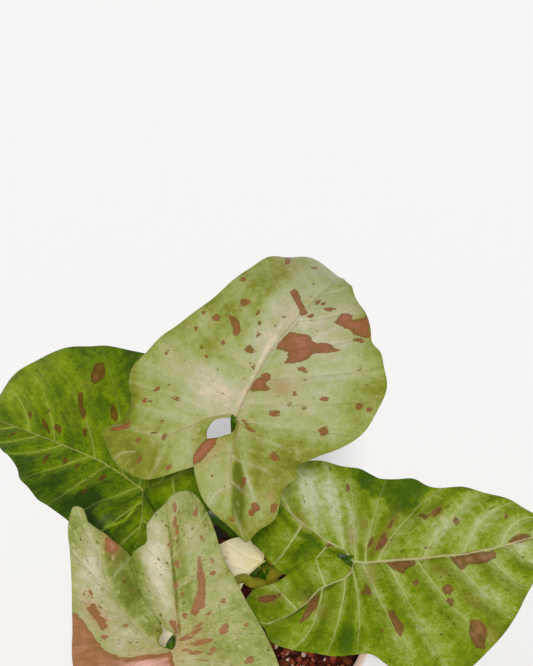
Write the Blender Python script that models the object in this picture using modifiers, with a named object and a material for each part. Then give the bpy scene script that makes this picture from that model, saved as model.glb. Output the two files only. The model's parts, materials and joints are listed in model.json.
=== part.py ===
"""Potted syngonium: four patterned arrowhead leaves and a young cream leaf on one short stem, in a small round pot.

Metres, +Z up. The origin is the middle of the pot's flat underside. The viewer of the photo stands at -Y.
"""
import math

import bmesh
import bpy
import numpy as np

# Start from an empty scene
for old_object in list(bpy.data.objects):
    bpy.data.objects.remove(old_object, do_unlink=True)

plant = bpy.data.collections.new("potted_syngonium")
cutters = bpy.data.collections.new("cutters")
bpy.context.scene.collection.children.link(plant)
bpy.context.scene.collection.children.link(cutters)
MM = 0.001


def material(name, red, green, blue, roughness):
    """A plain coloured surface."""
    made = bpy.data.materials.new(name)
    made.use_nodes = True
    shader = made.node_tree.nodes["Principled BSDF"]
    shader.inputs["Base Color"].default_value = (red, green, blue, 1)
    shader.inputs["Roughness"].default_value = roughness
    return made


def solid(name, points, faces, finish, home=plant):
    """An object from points in millimetres, with points that coincide made one and its faces turned outwards."""
    mesh = bpy.data.meshes.new(name)
    mesh.from_pydata([tuple(float(value) * MM for value in point) for point in points], [], faces)
    work = bmesh.new()
    work.from_mesh(mesh)
    bmesh.ops.remove_doubles(work, verts=work.verts, dist=0.00002)
    bmesh.ops.recalc_face_normals(work, faces=work.faces)
    work.to_mesh(mesh)
    work.free()
    mesh.materials.append(finish)
    made = bpy.data.objects.new(name, mesh)
    home.objects.link(made)
    return made


def cutter(made, name):
    """Moves a helper to the cutters, out of the render and drawn as a wire."""
    made.name = name
    for home in list(made.users_collection):
        home.objects.unlink(made)
    cutters.objects.link(made)
    made.hide_render = True
    made.display_type = "WIRE"
    return made


def boolean(target, tool, operation):
    """One exact Boolean on the target."""
    step = target.modifiers.new(operation.lower() + " " + tool.name, "BOOLEAN")
    step.operation = operation
    step.solver = "EXACT"
    step.object = tool


# The pot: a plain tapered pot with a rounded rim and four drain holes round the middle of its floor
POT_HEIGHT = 100
RIM_RADIUS = 55
FOOT_RADIUS = 39
WALL = 2.8
FLOOR = 4
POT_STEPS = 56
pot_profile = [
    (0, FLOOR),
    (FOOT_RADIUS - WALL - 2.6, FLOOR),
    (FOOT_RADIUS - WALL - 0.6, FLOOR + 0.6),
    (FOOT_RADIUS - WALL + 0.4, FLOOR + 2.4),
    (RIM_RADIUS - WALL, POT_HEIGHT - 1.6),
    (RIM_RADIUS - WALL + 0.5, POT_HEIGHT - 0.4),
    (RIM_RADIUS - WALL / 2, POT_HEIGHT),
    (RIM_RADIUS - 0.5, POT_HEIGHT - 0.4),
    (RIM_RADIUS, POT_HEIGHT - 1.6),
    (FOOT_RADIUS + 0.3, 2.2),
    (FOOT_RADIUS - 0.4, 0.6),
    (FOOT_RADIUS - 1.8, 0),
    (0, 0),
]
pot_mesh = bpy.data.meshes.new("pot")
pot_mesh.from_pydata(
    [(radius * MM, 0, height * MM) for radius, height in pot_profile],
    [(i, i + 1) for i in range(len(pot_profile) - 1)],
    [],
)
pot_mesh.materials.append(material("pale glazed ceramic", 0.62, 0.47, 0.40, 0.35))
pot = bpy.data.objects.new("pot", pot_mesh)
plant.objects.link(pot)
turned = pot.modifiers.new("turned", "SCREW")
turned.steps = POT_STEPS
turned.render_steps = POT_STEPS
turned.use_merge_vertices = True
turned.merge_threshold = 0.00005
DRAIN_RING = 22
DRAIN_RADIUS = 4
for turn in range(4):
    angle = math.radians(45 + 90 * turn)
    bpy.ops.mesh.primitive_cylinder_add(
        vertices=16,
        radius=DRAIN_RADIUS * MM,
        depth=0.02,
        location=(DRAIN_RING * MM * math.cos(angle), DRAIN_RING * MM * math.sin(angle), 0),
    )
    boolean(pot, cutter(bpy.context.object, "drain_cutter_" + str(turn + 1)), "DIFFERENCE")

# The soil: coarse bark and clay mix that fills the pot to 12 mm below its rim, with a lumpy top
SOIL_TOP = 88
GAP = 0.45
RINGS = 13
SPOKES = 44
STEM_FOOT = (11.5, 13.0)
HOLE_RADIUS = 4.9
HOLE_BOTTOM = 62


def inner_radius(height):
    """Radius of the pot's inside at a height."""
    share = (height - FLOOR - 2.4) / (POT_HEIGHT - 1.6 - FLOOR - 2.4)
    return FOOT_RADIUS - WALL + 0.4 + share * (RIM_RADIUS - FOOT_RADIUS - 0.4)


draw = np.random.default_rng(11)
lump_angle = draw.uniform(0, 2 * math.pi, 90)
lump_reach = 47 * np.sqrt(draw.uniform(0.02, 1, 90))
lump_x = lump_reach * np.cos(lump_angle)
lump_y = lump_reach * np.sin(lump_angle)
lump_size = draw.uniform(3.0, 6.0, 90)
lump_height = draw.uniform(0.6, 2.4, 90)


def soil_height(x, y):
    """Flat soil with the tallest round lump at each place added, less near the pot's wall."""
    away = (lump_x - x) ** 2 + (lump_y - y) ** 2
    bump = np.max(lump_height * np.clip(1 - away / lump_size**2, 0, None))
    edge = min(1.0, (50.2 - math.hypot(x, y)) / 5 + 0.25)
    return SOIL_TOP - 1.0 + bump * max(edge, 0)


soil_points = [(0, 0, soil_height(0, 0))]
soil_faces = []
top_radius = inner_radius(SOIL_TOP) - GAP
for ring in range(1, RINGS + 1):
    for spoke in range(SPOKES):
        angle = 2 * math.pi * (spoke + 0.5 * (ring % 2)) / SPOKES
        reach = top_radius * ring / RINGS
        x = reach * math.cos(angle)
        y = reach * math.sin(angle)
        height = soil_height(x, y) if ring < RINGS else SOIL_TOP - 1.2
        soil_points.append((x, y, height))
last_angle_shift = 0.5 * (RINGS % 2)
for radius, height in ((inner_radius(8) - GAP, 8), (FOOT_RADIUS - WALL - 3.2, FLOOR + GAP)):
    for spoke in range(SPOKES):
        angle = 2 * math.pi * (spoke + last_angle_shift) / SPOKES
        soil_points.append((radius * math.cos(angle), radius * math.sin(angle), height))
soil_points.append((0, 0, FLOOR + GAP))
for spoke in range(SPOKES):
    following = (spoke + 1) % SPOKES
    soil_faces.append((0, 1 + spoke, 1 + following))
    for ring in range(RINGS + 1):
        low = 1 + ring * SPOKES
        high = low + SPOKES
        if ring < RINGS - 1 and ring % 2 == 0:
            soil_faces.append((low + spoke, high + spoke, low + following))
            soil_faces.append((high + spoke, high + following, low + following))
        elif ring < RINGS - 1:
            soil_faces.append((low + spoke, high + spoke, high + following))
            soil_faces.append((low + spoke, high + following, low + following))
        else:
            soil_faces.append((low + spoke, high + spoke, high + following, low + following))
    bottom = 1 + (RINGS + 1) * SPOKES
    soil_faces.append((len(soil_points) - 1, bottom + following, bottom + spoke))
soil = solid("soil", soil_points, soil_faces, material("bark and clay potting mix", 0.14, 0.045, 0.022, 0.95))
bpy.ops.mesh.primitive_cylinder_add(
    vertices=20,
    radius=HOLE_RADIUS * MM,
    depth=(100 - HOLE_BOTTOM) * MM,
    location=(STEM_FOOT[0] * MM, STEM_FOOT[1] * MM, (100 + HOLE_BOTTOM) / 2 * MM),
)
boolean(soil, cutter(bpy.context.object, "stem_hole_cutter"), "DIFFERENCE")

# The stem with its petioles: grown as one, each petiole clasping the stem with a wider foot


def smooth_line(stations, count):
    """Points evenly spread along a smooth curve through the stations, each with every value of a station."""
    known = np.array(stations, float)
    padded = np.vstack([2 * known[0] - known[1], known, 2 * known[-1] - known[-2]])
    fine = []
    for i in range(1, len(padded) - 2):
        step = np.linspace(0, 1, 24, endpoint=False)[:, None]
        before, start, end, after = padded[i - 1], padded[i], padded[i + 1], padded[i + 2]
        fine.append(
            0.5
            * (
                2 * start
                + (end - before) * step
                + (2 * before - 5 * start + 4 * end - after) * step**2
                + (3 * start - before - 3 * end + after) * step**3
            )
        )
    fine = np.vstack(fine + [known[-1:]])
    length = np.concatenate([[0], np.cumsum(np.linalg.norm(np.diff(fine[:, :3], axis=0), axis=1))])
    wanted = np.linspace(0, length[-1], count)
    return np.stack([np.interp(wanted, length, fine[:, i]) for i in range(fine.shape[1])], axis=1)


def rod(name, stations, count, sides, finish, home):
    """A round rod along stations of x, y, z and radius, closed by a flat face at each end."""
    line = smooth_line(stations, count)
    points = []
    faces = []
    across = np.array([1.0, 0.13, 0.0])
    for i in range(count):
        ahead = line[min(i + 1, count - 1), :3] - line[max(i - 1, 0), :3]
        ahead /= np.linalg.norm(ahead)
        across = across - ahead * across.dot(ahead)
        across /= np.linalg.norm(across)
        side = np.cross(ahead, across)
        for k in range(sides):
            angle = 2 * math.pi * k / sides
            points.append(line[i, :3] + line[i, 3] * (across * math.cos(angle) + side * math.sin(angle)))
    for i in range(count - 1):
        for k in range(sides):
            following = (k + 1) % sides
            low = i * sides
            high = low + sides
            faces.append((low + k, low + following, high + following, high + k))
    faces.append(tuple(range(sides))[::-1])
    faces.append(tuple((count - 1) * sides + k for k in range(sides)))
    return solid(name, points, faces, finish, home)


stem_green = material("green stem", 0.20, 0.33, 0.06, 0.5)
stem = rod(
    "stem_with_petioles",
    [
        (STEM_FOOT[0], STEM_FOOT[1], HOLE_BOTTOM + 0.4, 3.4),
        (STEM_FOOT[0] + 0.3, STEM_FOOT[1], 80, 3.9),
        (STEM_FOOT[0] + 1.4, STEM_FOOT[1] - 0.3, 96, 3.6),
        (14.3, 12.2, 108, 3.3),
        (14.4, 11.9, 112.5, 2.0),
    ],
    10,
    12,
    stem_green,
    plant,
)
petiole_stations = {
    "petiole_top": [
        (13.4, 13.6, 96, 2.6),
        (15.0, 17.0, 108, 2.5),
        (14.0, 19.0, 130, 1.8),
        (9.0, 14.0, 162, 1.5),
        (5.8, 3.0, 188, 1.35),
        (5.3, -2.0, 199.8, 1.3),
        (4.4, -3.55, 204.3, 1.2),
    ],
    "petiole_left": [
        (12.6, 13.4, 90, 2.6),
        (11.5, 17.5, 98, 2.4),
        (6.5, 24.5, 108, 1.9),
        (-3.0, 22.5, 125, 1.7),
        (-14.0, 14.0, 141, 1.5),
        (-24.5, 9.2, 150, 1.4),
        (-27.9, 7.9, 153.4, 1.3),
        (-29.28, 7.48, 157.25, 1.2),
    ],
    "petiole_front": [
        (13.6, 11.6, 98, 2.6),
        (13.0, 7.0, 107, 2.3),
        (9.2, 1.6, 114.5, 1.9),
        (4.4, -3.0, 122, 1.7),
        (-8.0, -24.5, 132, 1.5),
        (-16.5, -42.0, 136.4, 1.4),
        (-18.2, -47.0, 137.2, 1.3),
        (-17.7, -49.57, 139.5, 1.2),
    ],
    "petiole_right": [
        (13.8, 12.2, 100, 2.6),
        (18.5, 9.6, 112, 2.3),
        (31.0, 1.6, 125, 1.8),
        (41.0, -8.0, 133.5, 1.5),
        (44.0, -11.4, 137.3, 1.35),
        (44.9, -12.34, 141.3, 1.25),
    ],
    "petiole_young": [
        (14.4, 12.0, 106, 1.9),
        (13.9, 11.6, 112, 1.5),
        (13.2, 10.9, 116.2, 1.1),
    ],
}
petiole_steps = {"petiole_top": 18, "petiole_left": 19, "petiole_front": 18, "petiole_right": 13, "petiole_young": 5}
for name, stations in petiole_stations.items():
    petiole = rod(name, stations, petiole_steps[name], 8, stem_green, cutters)
    boolean(stem, cutter(petiole, name), "UNION")

# The blades: each is a flat outline bent along and across, then thickened
BLADE = 0.7


def along(line, share):
    """Point at a share of the length of a line given by its corners."""
    known = np.array(line, float)
    length = np.concatenate([[0], np.cumsum(np.linalg.norm(np.diff(known, axis=0), axis=1))])
    return np.array([np.interp(share * length[-1], length, known[:, i]) for i in range(2)])


def bent(distance, angle_at):
    """How far along and how high a point ends on a line that leans by angle_at all along."""
    steps = np.linspace(0, distance, 41)
    angles = angle_at(steps)
    middle = (angles[1:] + angles[:-1]) / 2
    return np.sum(np.cos(middle)) * distance / 40, np.sum(np.sin(middle)) * distance / 40


def place(leaf, a, b, lift):
    """Millimetre position of the blade's point a along the midrib and b to its left."""
    a = a * leaf["size"]
    b = b * leaf["size"]
    turn, pitch, roll = (math.radians(leaf[key]) for key in ("turn", "pitch", "roll"))
    ahead = np.array([math.cos(pitch) * math.cos(turn), math.cos(pitch) * math.sin(turn), math.sin(pitch)])
    level = np.array([-math.sin(turn), math.cos(turn), 0.0])
    upright = np.cross(ahead, level)
    left = math.cos(roll) * level + math.sin(roll) * upright
    up = math.cos(roll) * upright - math.sin(roll) * level

    def droop(x):
        share = (np.abs(x) / 80) ** leaf["droop_power"]
        share = np.where(share > 1, 1 + 0.35 * (share - 1), share)
        backward = math.radians(leaf["lobe_droop"]) * (np.abs(x) / 50) ** 1.3
        return np.where(x >= 0, -math.radians(leaf["tip_droop"]) * share, backward)

    def fold(x):
        side = np.where(x >= 0, math.radians(leaf["fold_left"]), -math.radians(leaf["fold_right"]))
        curl = math.radians(leaf["curl"]) * np.abs(x) / 50
        return side * np.tanh(np.abs(x) / 4) - np.sign(x) * curl

    run, rise = bent(a, droop)
    lean = float(droop(np.array(a)))
    out, height = bent(b, fold)
    raised = math.cos(lean) * up - math.sin(lean) * ahead
    return leaf["at"] + run * ahead + rise * up + out * left + (height + lift) * raised


def half(leaf, side, rib_nodes, rib_steps, across):
    """Points and faces of one side: strips from the midrib and the lobe's rib out to the margin."""
    outline = leaf[side]
    rows = smooth_line([(0, 0, 0, 0)] + [(a, b, 0, foot) for a, b, foot in outline["margin"]], 400)
    foot = np.clip(rows[:, 3], -1, 1)
    nodes = [("rib", k / rib_nodes) for k in range(rib_nodes + 1)]
    nodes += [("rib", k / rib_nodes) for k in range(rib_nodes - 1, -1, -1)]
    nodes += [("mid", k / rib_steps) for k in range(1, rib_steps + 1)]
    turning = int(np.argmin(foot))
    path = np.where(np.arange(400) <= turning, -foot, 2 + foot)
    path = np.maximum.accumulate(np.clip(path, 0, 3 - 0.0001))
    place_of = [k / rib_nodes for k in range(rib_nodes + 1)]
    place_of += [1 + k / rib_nodes for k in range(1, rib_nodes + 1)]
    place_of += [2 + k / rib_steps for k in range(1, rib_steps + 1)]
    count = leaf["samples"]
    chosen = sorted(
        set(int(round(k)) for k in np.linspace(0, 399, count))
        | set(int(np.searchsorted(path, value - 1e-9)) for value in place_of)
    )
    chosen = [k for k in chosen if k < 400]
    if chosen[-1] != 399:
        chosen.append(399)
    points = []
    faces = []
    for k in chosen:
        node = int(np.searchsorted(place_of, path[k] + 1e-6, side="right")) - 1
        if k == 399:
            node = len(nodes) - 1
        kind, share = nodes[node]
        start = along(outline["rib"] if kind == "rib" else leaf["midrib"], share)
        end = rows[k, :2]
        swing = leaf["wave"] * math.sin(k * 2 * math.pi / 400 * leaf["waves"] + leaf["wave_start"])
        swing *= min(1, math.dist(start, end) / 8)
        for j in range(across + 1):
            part = j / across
            a, b = start + (end - start) * part
            raised = outline.get("lift", 0) * min(1.0, max(0.0, -a / 14))
            points.append(place(leaf, a, b, swing * part**2 + raised))
    wide = across + 1
    for i in range(len(chosen) - 1):
        for j in range(across):
            p, q = i * wide + j, (i + 1) * wide + j
            faces.append((p, p + 1, q + 1))
            faces.append((p, q + 1, q))
    if side == "right":
        faces = [face[::-1] for face in faces]
    return points, faces


def blade(name, leaf, finish, rib_nodes=5, rib_steps=13, across=4):
    """Both sides joined into one sheet, then thickened evenly to both faces."""
    left_points, left_faces = half(leaf, "left", rib_nodes, rib_steps, across)
    right_points, right_faces = half(leaf, "right", rib_nodes, rib_steps, across)
    shift = len(left_points)
    faces = left_faces + [tuple(k + shift for k in face) for face in right_faces]
    made = solid(name, left_points + right_points, faces, finish)
    work = bmesh.new()
    work.from_mesh(made.data)
    bmesh.ops.triangulate(work, faces=work.faces)
    work.to_mesh(made.data)
    work.free()
    thick = made.modifiers.new("thickness", "SOLIDIFY")
    thick.thickness = BLADE * MM
    thick.offset = 0
    return made


# The top leaf: pale milky green, arched so that its drip tip hangs behind
leaf_top = {
    "at": np.array([4.29, -3.63, 205.0]),
    "turn": 60, "pitch": 30, "roll": -4, "size": 1.0,
    "tip_droop": 78, "droop_power": 2.2, "lobe_droop": 14,
    "fold_left": 5, "fold_right": 5, "curl": 8,
    "samples": 34, "wave": 0.5, "waves": 11, "wave_start": 0.4,
    "midrib": [(0, 0), (12, 0.2), (25, -0.3), (38, -1.8), (50, -3.3), (62, -3.4), (74, 0), (85, 5), (95, 10.5)],
    "left": {
        "rib": [(0, 0), (-7, 9), (-15, 18), (-24, 27)],
        "margin": [
            (-2, 2, -0.04), (-4, 6, -0.12), (-7.5, 7.5, -0.3), (-10.8, 6.5, -0.4), (-12.5, 3.6, -0.45),
            (-16, 3.0, -0.55), (-20, 5, -0.65), (-24, 10, -0.75), (-29, 16, -0.85), (-31.5, 22, -0.95),
            (-31, 30, -1), (-27.5, 37, -1), (-22, 43, -0.9), (-18.5, 40.5, -0.75), (-15, 37.5, -0.6),
            (-8, 38.5, -0.4), (-2, 42.5, -0.2), (4, 44, 0), (11, 41, 0.08), (18, 38.5, 0.16),
            (25, 34.5, 0.24), (32, 31, 0.32), (40, 28.5, 0.4), (48, 26.7, 0.5), (56, 25.8, 0.58),
            (64, 24.5, 0.66), (72, 22, 0.75), (80, 18, 0.84), (88, 14, 0.92), (95, 10.5, 1),
        ],
    },
    "right": {
        "lift": 1.6,
        "rib": [(0, 0), (-8, -5), (-18, -10), (-30, -17)],
        "margin": [
            (-3, -1.4, -0.05), (-7, -1.6, -0.2), (-11, 0.2, -0.35), (-16, 1.3, -0.5), (-21, 1.6, -0.6),
            (-26, 0.3, -0.7), (-30, -3, -0.8), (-33, -9, -0.9), (-35, -16, -1), (-37.5, -23.5, -1),
            (-33, -26, -0.9), (-27, -29.5, -0.75), (-20, -29.5, -0.6), (-13, -30, -0.45), (-7, -31, -0.3),
            (-2, -34, -0.15), (3, -40, 0), (9, -44, 0.06), (15, -45.5, 0.12), (22, -45.5, 0.2),
            (28, -44, 0.26), (33, -40.5, 0.32), (38, -36.5, 0.36), (41, -31.5, 0.4), (46, -28.2, 0.45),
            (51, -23.6, 0.5), (56, -18, 0.56), (61, -13, 0.62), (67, -8.5, 0.7), (75, -3.5, 0.79),
            (85, 3, 0.9), (95, 10.5, 1),
        ],
    },
}

# The left leaf: darker green, its inner lobes under the top leaf and the front leaf
leaf_left = {
    "at": np.array([-29.68, 7.49, 158.0]),
    "turn": 152, "pitch": -5, "roll": -14, "size": 1.03,
    "tip_droop": 25, "droop_power": 1.6, "lobe_droop": 12,
    "fold_left": 0, "fold_right": 10, "curl": 8,
    "samples": 32, "wave": 0.5, "waves": 9, "wave_start": 1.1,
    "midrib": [(0, 0), (10, -3), (20, -5.5), (40, -8.5), (60.5, -11.5), (75, -14.5), (86.5, -17.5)],
    "left": {
        "rib": [(0, 0), (-4, 8), (-7, 15), (-9, 23)],
        "margin": [
            (-2, 1, -0.05), (-7, 2, -0.25), (-11.5, 5.5, -0.45), (-16, 11.5, -0.7), (-18, 19.5, -0.9),
            (-15, 26.5, -1), (-8, 30.5, -1), (-1, 31, -0.7), (7, 28, -0.35), (13.5, 23.5, -0.1),
            (20, 19.5, 0.02), (29, 17, 0.12), (36, 15, 0.22), (42.5, 11.5, 0.32), (48, 9, 0.4),
            (53, 4.5, 0.5), (58.5, 1, 0.6), (65.5, -2, 0.7), (72.5, -6.5, 0.8), (80, -12, 0.9), (86.5, -17.5, 1),
        ],
    },
    "right": {
        "rib": [(0, 0), (-6, -6), (-11, -11), (-16, -16)],
        "margin": [
            (-4, -0.5, -0.2), (-10, -0.5, -0.45), (-16, -1.5, -0.65), (-21, -5, -0.85), (-23.5, -10, -1),
            (-21, -16, -1), (-16.5, -21.5, -1), (-12, -26.5, -0.8), (-7.5, -32.5, -0.55), (-1, -39, -0.3),
            (7, -45, -0.05), (18, -50, 0.07), (29, -51.5, 0.18), (39.5, -51, 0.28), (48.5, -50.5, 0.38),
            (56.5, -49, 0.48), (63.5, -46.5, 0.56), (70, -43.5, 0.64), (75, -39.5, 0.71), (79, -35, 0.78),
            (82, -29.5, 0.84), (83.5, -24.5, 0.9), (85, -21, 0.95), (86.5, -17.5, 1),
        ],
    },
}

# The front leaf: pale, folded along its midrib, its two lobes standing up behind it
leaf_front = {
    "at": np.array([-17.53, -50.22, 140.0]),
    "turn": -76, "pitch": -35, "roll": 0, "size": 0.98,
    "tip_droop": 20, "droop_power": 1.6, "lobe_droop": 0,
    "fold_left": 18, "fold_right": 18, "curl": 5,
    "samples": 34, "wave": 0.4, "waves": 10, "wave_start": 2.0,
    "midrib": [(0, 0), (20, 0.5), (40, 1), (60, 0.5), (84, 0)],
    "left": {
        "rib": [(0, 0), (-12, 3), (-25, 7), (-42, 11)],
        "margin": [
            (-1.5, 0.6, -0.03), (-6, -1.0, -0.12), (-14, -3.2, -0.3), (-23, -5.6, -0.5), (-31, -6.8, -0.65),
            (-35.5, -5.4, -0.75), (-38, -2.2, -0.8), (-42, -0.6, -0.85), (-46, 1, -0.9), (-50, 5.5, -0.95),
            (-53, 11, -1), (-52.5, 17, -1), (-46, 20.5, -0.9), (-37, 22.5, -0.72), (-28, 23.6, -0.54),
            (-20, 26, -0.38), (-12, 28.3, -0.2), (-4, 31.2, -0.06), (5, 33.8, 0.05), (14, 35.5, 0.15),
            (24, 35, 0.26), (34, 32, 0.38), (44, 27, 0.5), (54, 20.5, 0.62), (64, 13, 0.76), (74, 6, 0.88),
            (84, 0, 1),
        ],
    },
    "right": {
        "rib": [(0, 0), (-12, -7.5), (-25, -13), (-42, -18)],
        "margin": [
            (-2, -2, -0.05), (-7, -4.6, -0.15), (-14, -6.0, -0.3), (-22, -8.0, -0.48), (-30, -9.0, -0.64),
            (-35, -9.5, -0.74), (-39, -11.2, -0.82), (-43, -14.5, -0.9), (-47.5, -19.5, -0.96),
            (-54, -22.5, -1), (-53, -27, -1), (-47, -29.3, -0.9), (-38, -30.2, -0.75), (-29, -31.2, -0.58),
            (-20, -32.7, -0.4), (-12, -34, -0.22), (-4, -35.6, -0.06), (6, -36, 0.05), (16, -35, 0.16),
            (26, -32.5, 0.27), (36, -28.5, 0.39), (46, -23, 0.51), (56, -16.5, 0.64), (66, -10, 0.78),
            (76, -4, 0.9), (84, 0, 1),
        ],
    },
}

# The right leaf: green with rosy patches, nearly level over the pot's right side
leaf_right = {
    "at": np.array([45.21, -12.44, 142.0]),
    "turn": 9, "pitch": 0, "roll": 12, "size": 1.0,
    "tip_droop": 30, "droop_power": 1.6, "lobe_droop": 10,
    "fold_left": 8, "fold_right": 8, "curl": 8,
    "samples": 36, "wave": 0.5, "waves": 11, "wave_start": 0.0,
    "midrib": [(0, 0), (20, -0.8), (40, -0.8), (52, 0.2), (62, 3.6), (72, 6.6), (82, 8.6), (92, 9.6)],
    "left": {
        "rib": [(0, 0), (-10, 10), (-18, 20), (-24, 30)],
        "margin": [
            (-1.5, 1.6, -0.04), (-5, 3.5, -0.15), (-11, 2.4, -0.32), (-18, 2.2, -0.5), (-25, 3.5, -0.68),
            (-31, 6.5, -0.82), (-34.5, 13, -0.95), (-35, 21, -1), (-31, 30, -1), (-25, 36, -0.8),
            (-18, 40, -0.6), (-11, 42.5, -0.35), (-4, 41.5, -0.12), (2, 39.2, 0.0), (9, 37, 0.06),
            (13, 34, 0.12), (16, 31.8, 0.16), (22, 31, 0.23), (28, 30.5, 0.3), (33, 27.6, 0.36),
            (38, 26.4, 0.42), (47, 26.2, 0.52), (56, 24, 0.62), (64, 21.5, 0.7), (72, 18.4, 0.79),
            (80, 14.6, 0.88), (87, 11.6, 0.95), (92, 9.6, 1),
        ],
    },
    "right": {
        "rib": [(0, 0), (-10, -6), (-20, -13), (-31, -19)],
        "margin": [
            (-2, -1, -0.05), (-8, -0.6, -0.22), (-15, -0.2, -0.4), (-22, -0.3, -0.56), (-29, -1.8, -0.7),
            (-35, -4.6, -0.84), (-38.7, -9.5, -0.95), (-37, -16, -1), (-35, -22, -1), (-33.5, -28, -0.9),
            (-28, -31, -0.75), (-21, -34, -0.58), (-14, -36.6, -0.4), (-7, -36.6, -0.22), (-1, -37.6, -0.08),
            (4, -43, 0.04), (10, -47, 0.11), (18, -49.6, 0.2), (26, -49.2, 0.29), (33, -45.8, 0.37),
            (41, -39.4, 0.46), (48, -33, 0.54), (55, -25, 0.63), (62, -16, 0.72), (70, -6.5, 0.8),
            (78, 1, 0.88), (85, 5.6, 0.94), (92, 9.6, 1),
        ],
    },
}

# The young leaf: small and cream, low over the soil under the front leaf
leaf_young = {
    "at": np.array([13.1, 10.75, 117.0]),
    "turn": -142, "pitch": -13, "roll": 0, "size": 1.0,
    "tip_droop": 25, "droop_power": 1.6, "lobe_droop": 5,
    "fold_left": 4, "fold_right": 4, "curl": 6,
    "samples": 18, "wave": 0.3, "waves": 6, "wave_start": 0.5,
    "midrib": [(0, 0), (18, 0.5), (36, 0.6), (56, 0)],
    "left": {
        "rib": [(0, 0), (-0.2, 0.3), (-0.3, 0.7)],
        "margin": [
            (-0.4, 0.6, -0.7), (-0.3, 0.9, -1), (3, 0.8, 0.04), (8, 1.0, 0.13), (14, 4, 0.25), (22, 8.5, 0.4),
            (32, 9.5, 0.58), (42, 7, 0.75), (50, 3.2, 0.9), (56, 0, 1),
        ],
    },
    "right": {
        "rib": [(0, 0), (-1.2, -2.4), (-2.2, -6)],
        "margin": [
            (-1.6, -1.2, -0.3), (-3.4, -3.6, -0.7), (-3.4, -7, -1), (-1.6, -11.6, -0.8), (2, -15.5, 0),
            (7, -16.8, 0.1), (14, -16.6, 0.22), (24, -14.5, 0.4), (34, -11, 0.58), (44, -7, 0.77), (56, 0, 1),
        ],
    },
}

blade("blade_top", leaf_top, material("pale milky leaf with rosy splashes", 0.42, 0.45, 0.20, 0.45))
blade("blade_left", leaf_left, material("mid green leaf", 0.16, 0.25, 0.03, 0.45))
blade("blade_front", leaf_front, material("pale folded leaf", 0.46, 0.46, 0.22, 0.45))
blade("blade_right", leaf_right, material("green leaf with rosy patches", 0.24, 0.32, 0.07, 0.45))
blade("blade_young", leaf_young, material("cream young leaf", 0.65, 0.57, 0.36, 0.5), 2, 7, 3)
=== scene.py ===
"""Potted syngonium: four patterned leaves and a cream young one over coarse soil in a small round pot."""
import json
import math

import bpy
import numpy as np
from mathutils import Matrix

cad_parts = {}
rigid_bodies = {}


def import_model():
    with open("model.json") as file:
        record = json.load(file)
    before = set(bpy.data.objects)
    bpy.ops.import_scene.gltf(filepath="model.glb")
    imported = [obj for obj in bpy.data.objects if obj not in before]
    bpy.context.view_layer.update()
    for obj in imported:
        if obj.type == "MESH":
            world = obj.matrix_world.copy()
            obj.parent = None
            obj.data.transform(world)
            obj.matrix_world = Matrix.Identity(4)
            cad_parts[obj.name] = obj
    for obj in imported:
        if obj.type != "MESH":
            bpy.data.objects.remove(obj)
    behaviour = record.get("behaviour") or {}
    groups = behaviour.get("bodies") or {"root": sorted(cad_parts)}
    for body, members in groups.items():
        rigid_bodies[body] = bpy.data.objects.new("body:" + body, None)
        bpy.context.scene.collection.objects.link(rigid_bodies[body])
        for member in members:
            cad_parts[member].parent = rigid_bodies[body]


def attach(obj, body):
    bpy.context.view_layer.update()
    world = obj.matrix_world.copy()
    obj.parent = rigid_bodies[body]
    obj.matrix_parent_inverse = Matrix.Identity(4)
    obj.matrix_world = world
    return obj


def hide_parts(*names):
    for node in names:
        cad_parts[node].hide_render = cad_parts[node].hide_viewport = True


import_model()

for startup in [piece for piece in bpy.data.objects if piece.name in ("Cube", "Light", "Camera")]:
    bpy.data.objects.remove(startup, do_unlink=True)
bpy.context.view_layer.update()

# The studio: a camera that looks down at the plant from the front, a soft light from beside it, a weaker
# and broader one from the upper left, and an even pale sky that lights the shadows.
CAMERA_PLACE = (0.0145, -0.4178, 0.5979)
CAMERA_TILT = 49.3
CAMERA_LENS = 92.05
scene = bpy.context.scene
scene.view_settings.view_transform = "Standard"
camera_data = bpy.data.cameras.new("studio_camera")
camera_data.lens = CAMERA_LENS
camera_data.sensor_width = 36
camera_data.clip_start = 0.01
camera = bpy.data.objects.new("studio_camera", camera_data)
camera.location = CAMERA_PLACE
camera.rotation_euler = (math.radians(CAMERA_TILT), 0, 0)
scene.collection.objects.link(camera)
scene.camera = camera


def linear(code):
    """Linear colour of an sRGB hex code.

    A channel c gives c / 12.92 when it is small, and ((c + 0.055) / 1.055) ^ 2.4 otherwise.
    """
    channels = [int(code[start:start + 2], 16) / 255 for start in (0, 2, 4)]
    return tuple(c / 12.92 if c <= 0.04045 else ((c + 0.055) / 1.055) ** 2.4 for c in channels) + (1.0,)


# Each light's name, strength, spread in degrees, colour, and turn about X and Y in degrees
for light_name, strength, spread, code, turn in (
    ("soft_light", 0.2, 34, "fffaf2", (8, -30)),
    ("front_light", 1.84, 6, "fffdf8", (41, 0.5)),
):
    light = bpy.data.lights.new(light_name, "SUN")
    light.energy = strength
    light.angle = math.radians(spread)
    light.color = linear(code)[:3]
    holder = bpy.data.objects.new(light_name, light)
    holder.rotation_euler = (math.radians(turn[0]), math.radians(turn[1]), 0)
    scene.collection.objects.link(holder)
sky = bpy.data.worlds.new("pale_studio")
sky.use_nodes = True
sky.node_tree.nodes["Background"].inputs["Color"].default_value = linear("fafbfd")
sky.node_tree.nodes["Background"].inputs["Strength"].default_value = 0.592
scene.world = sky


# The floor: a wide sheet of pale matt card, laid flat just under the pot's foot. It is part of the studio
# and not of the plant. Its sizes are in metres.
CARD_REACH = 8
CARD_DROP = 0.0002


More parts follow.
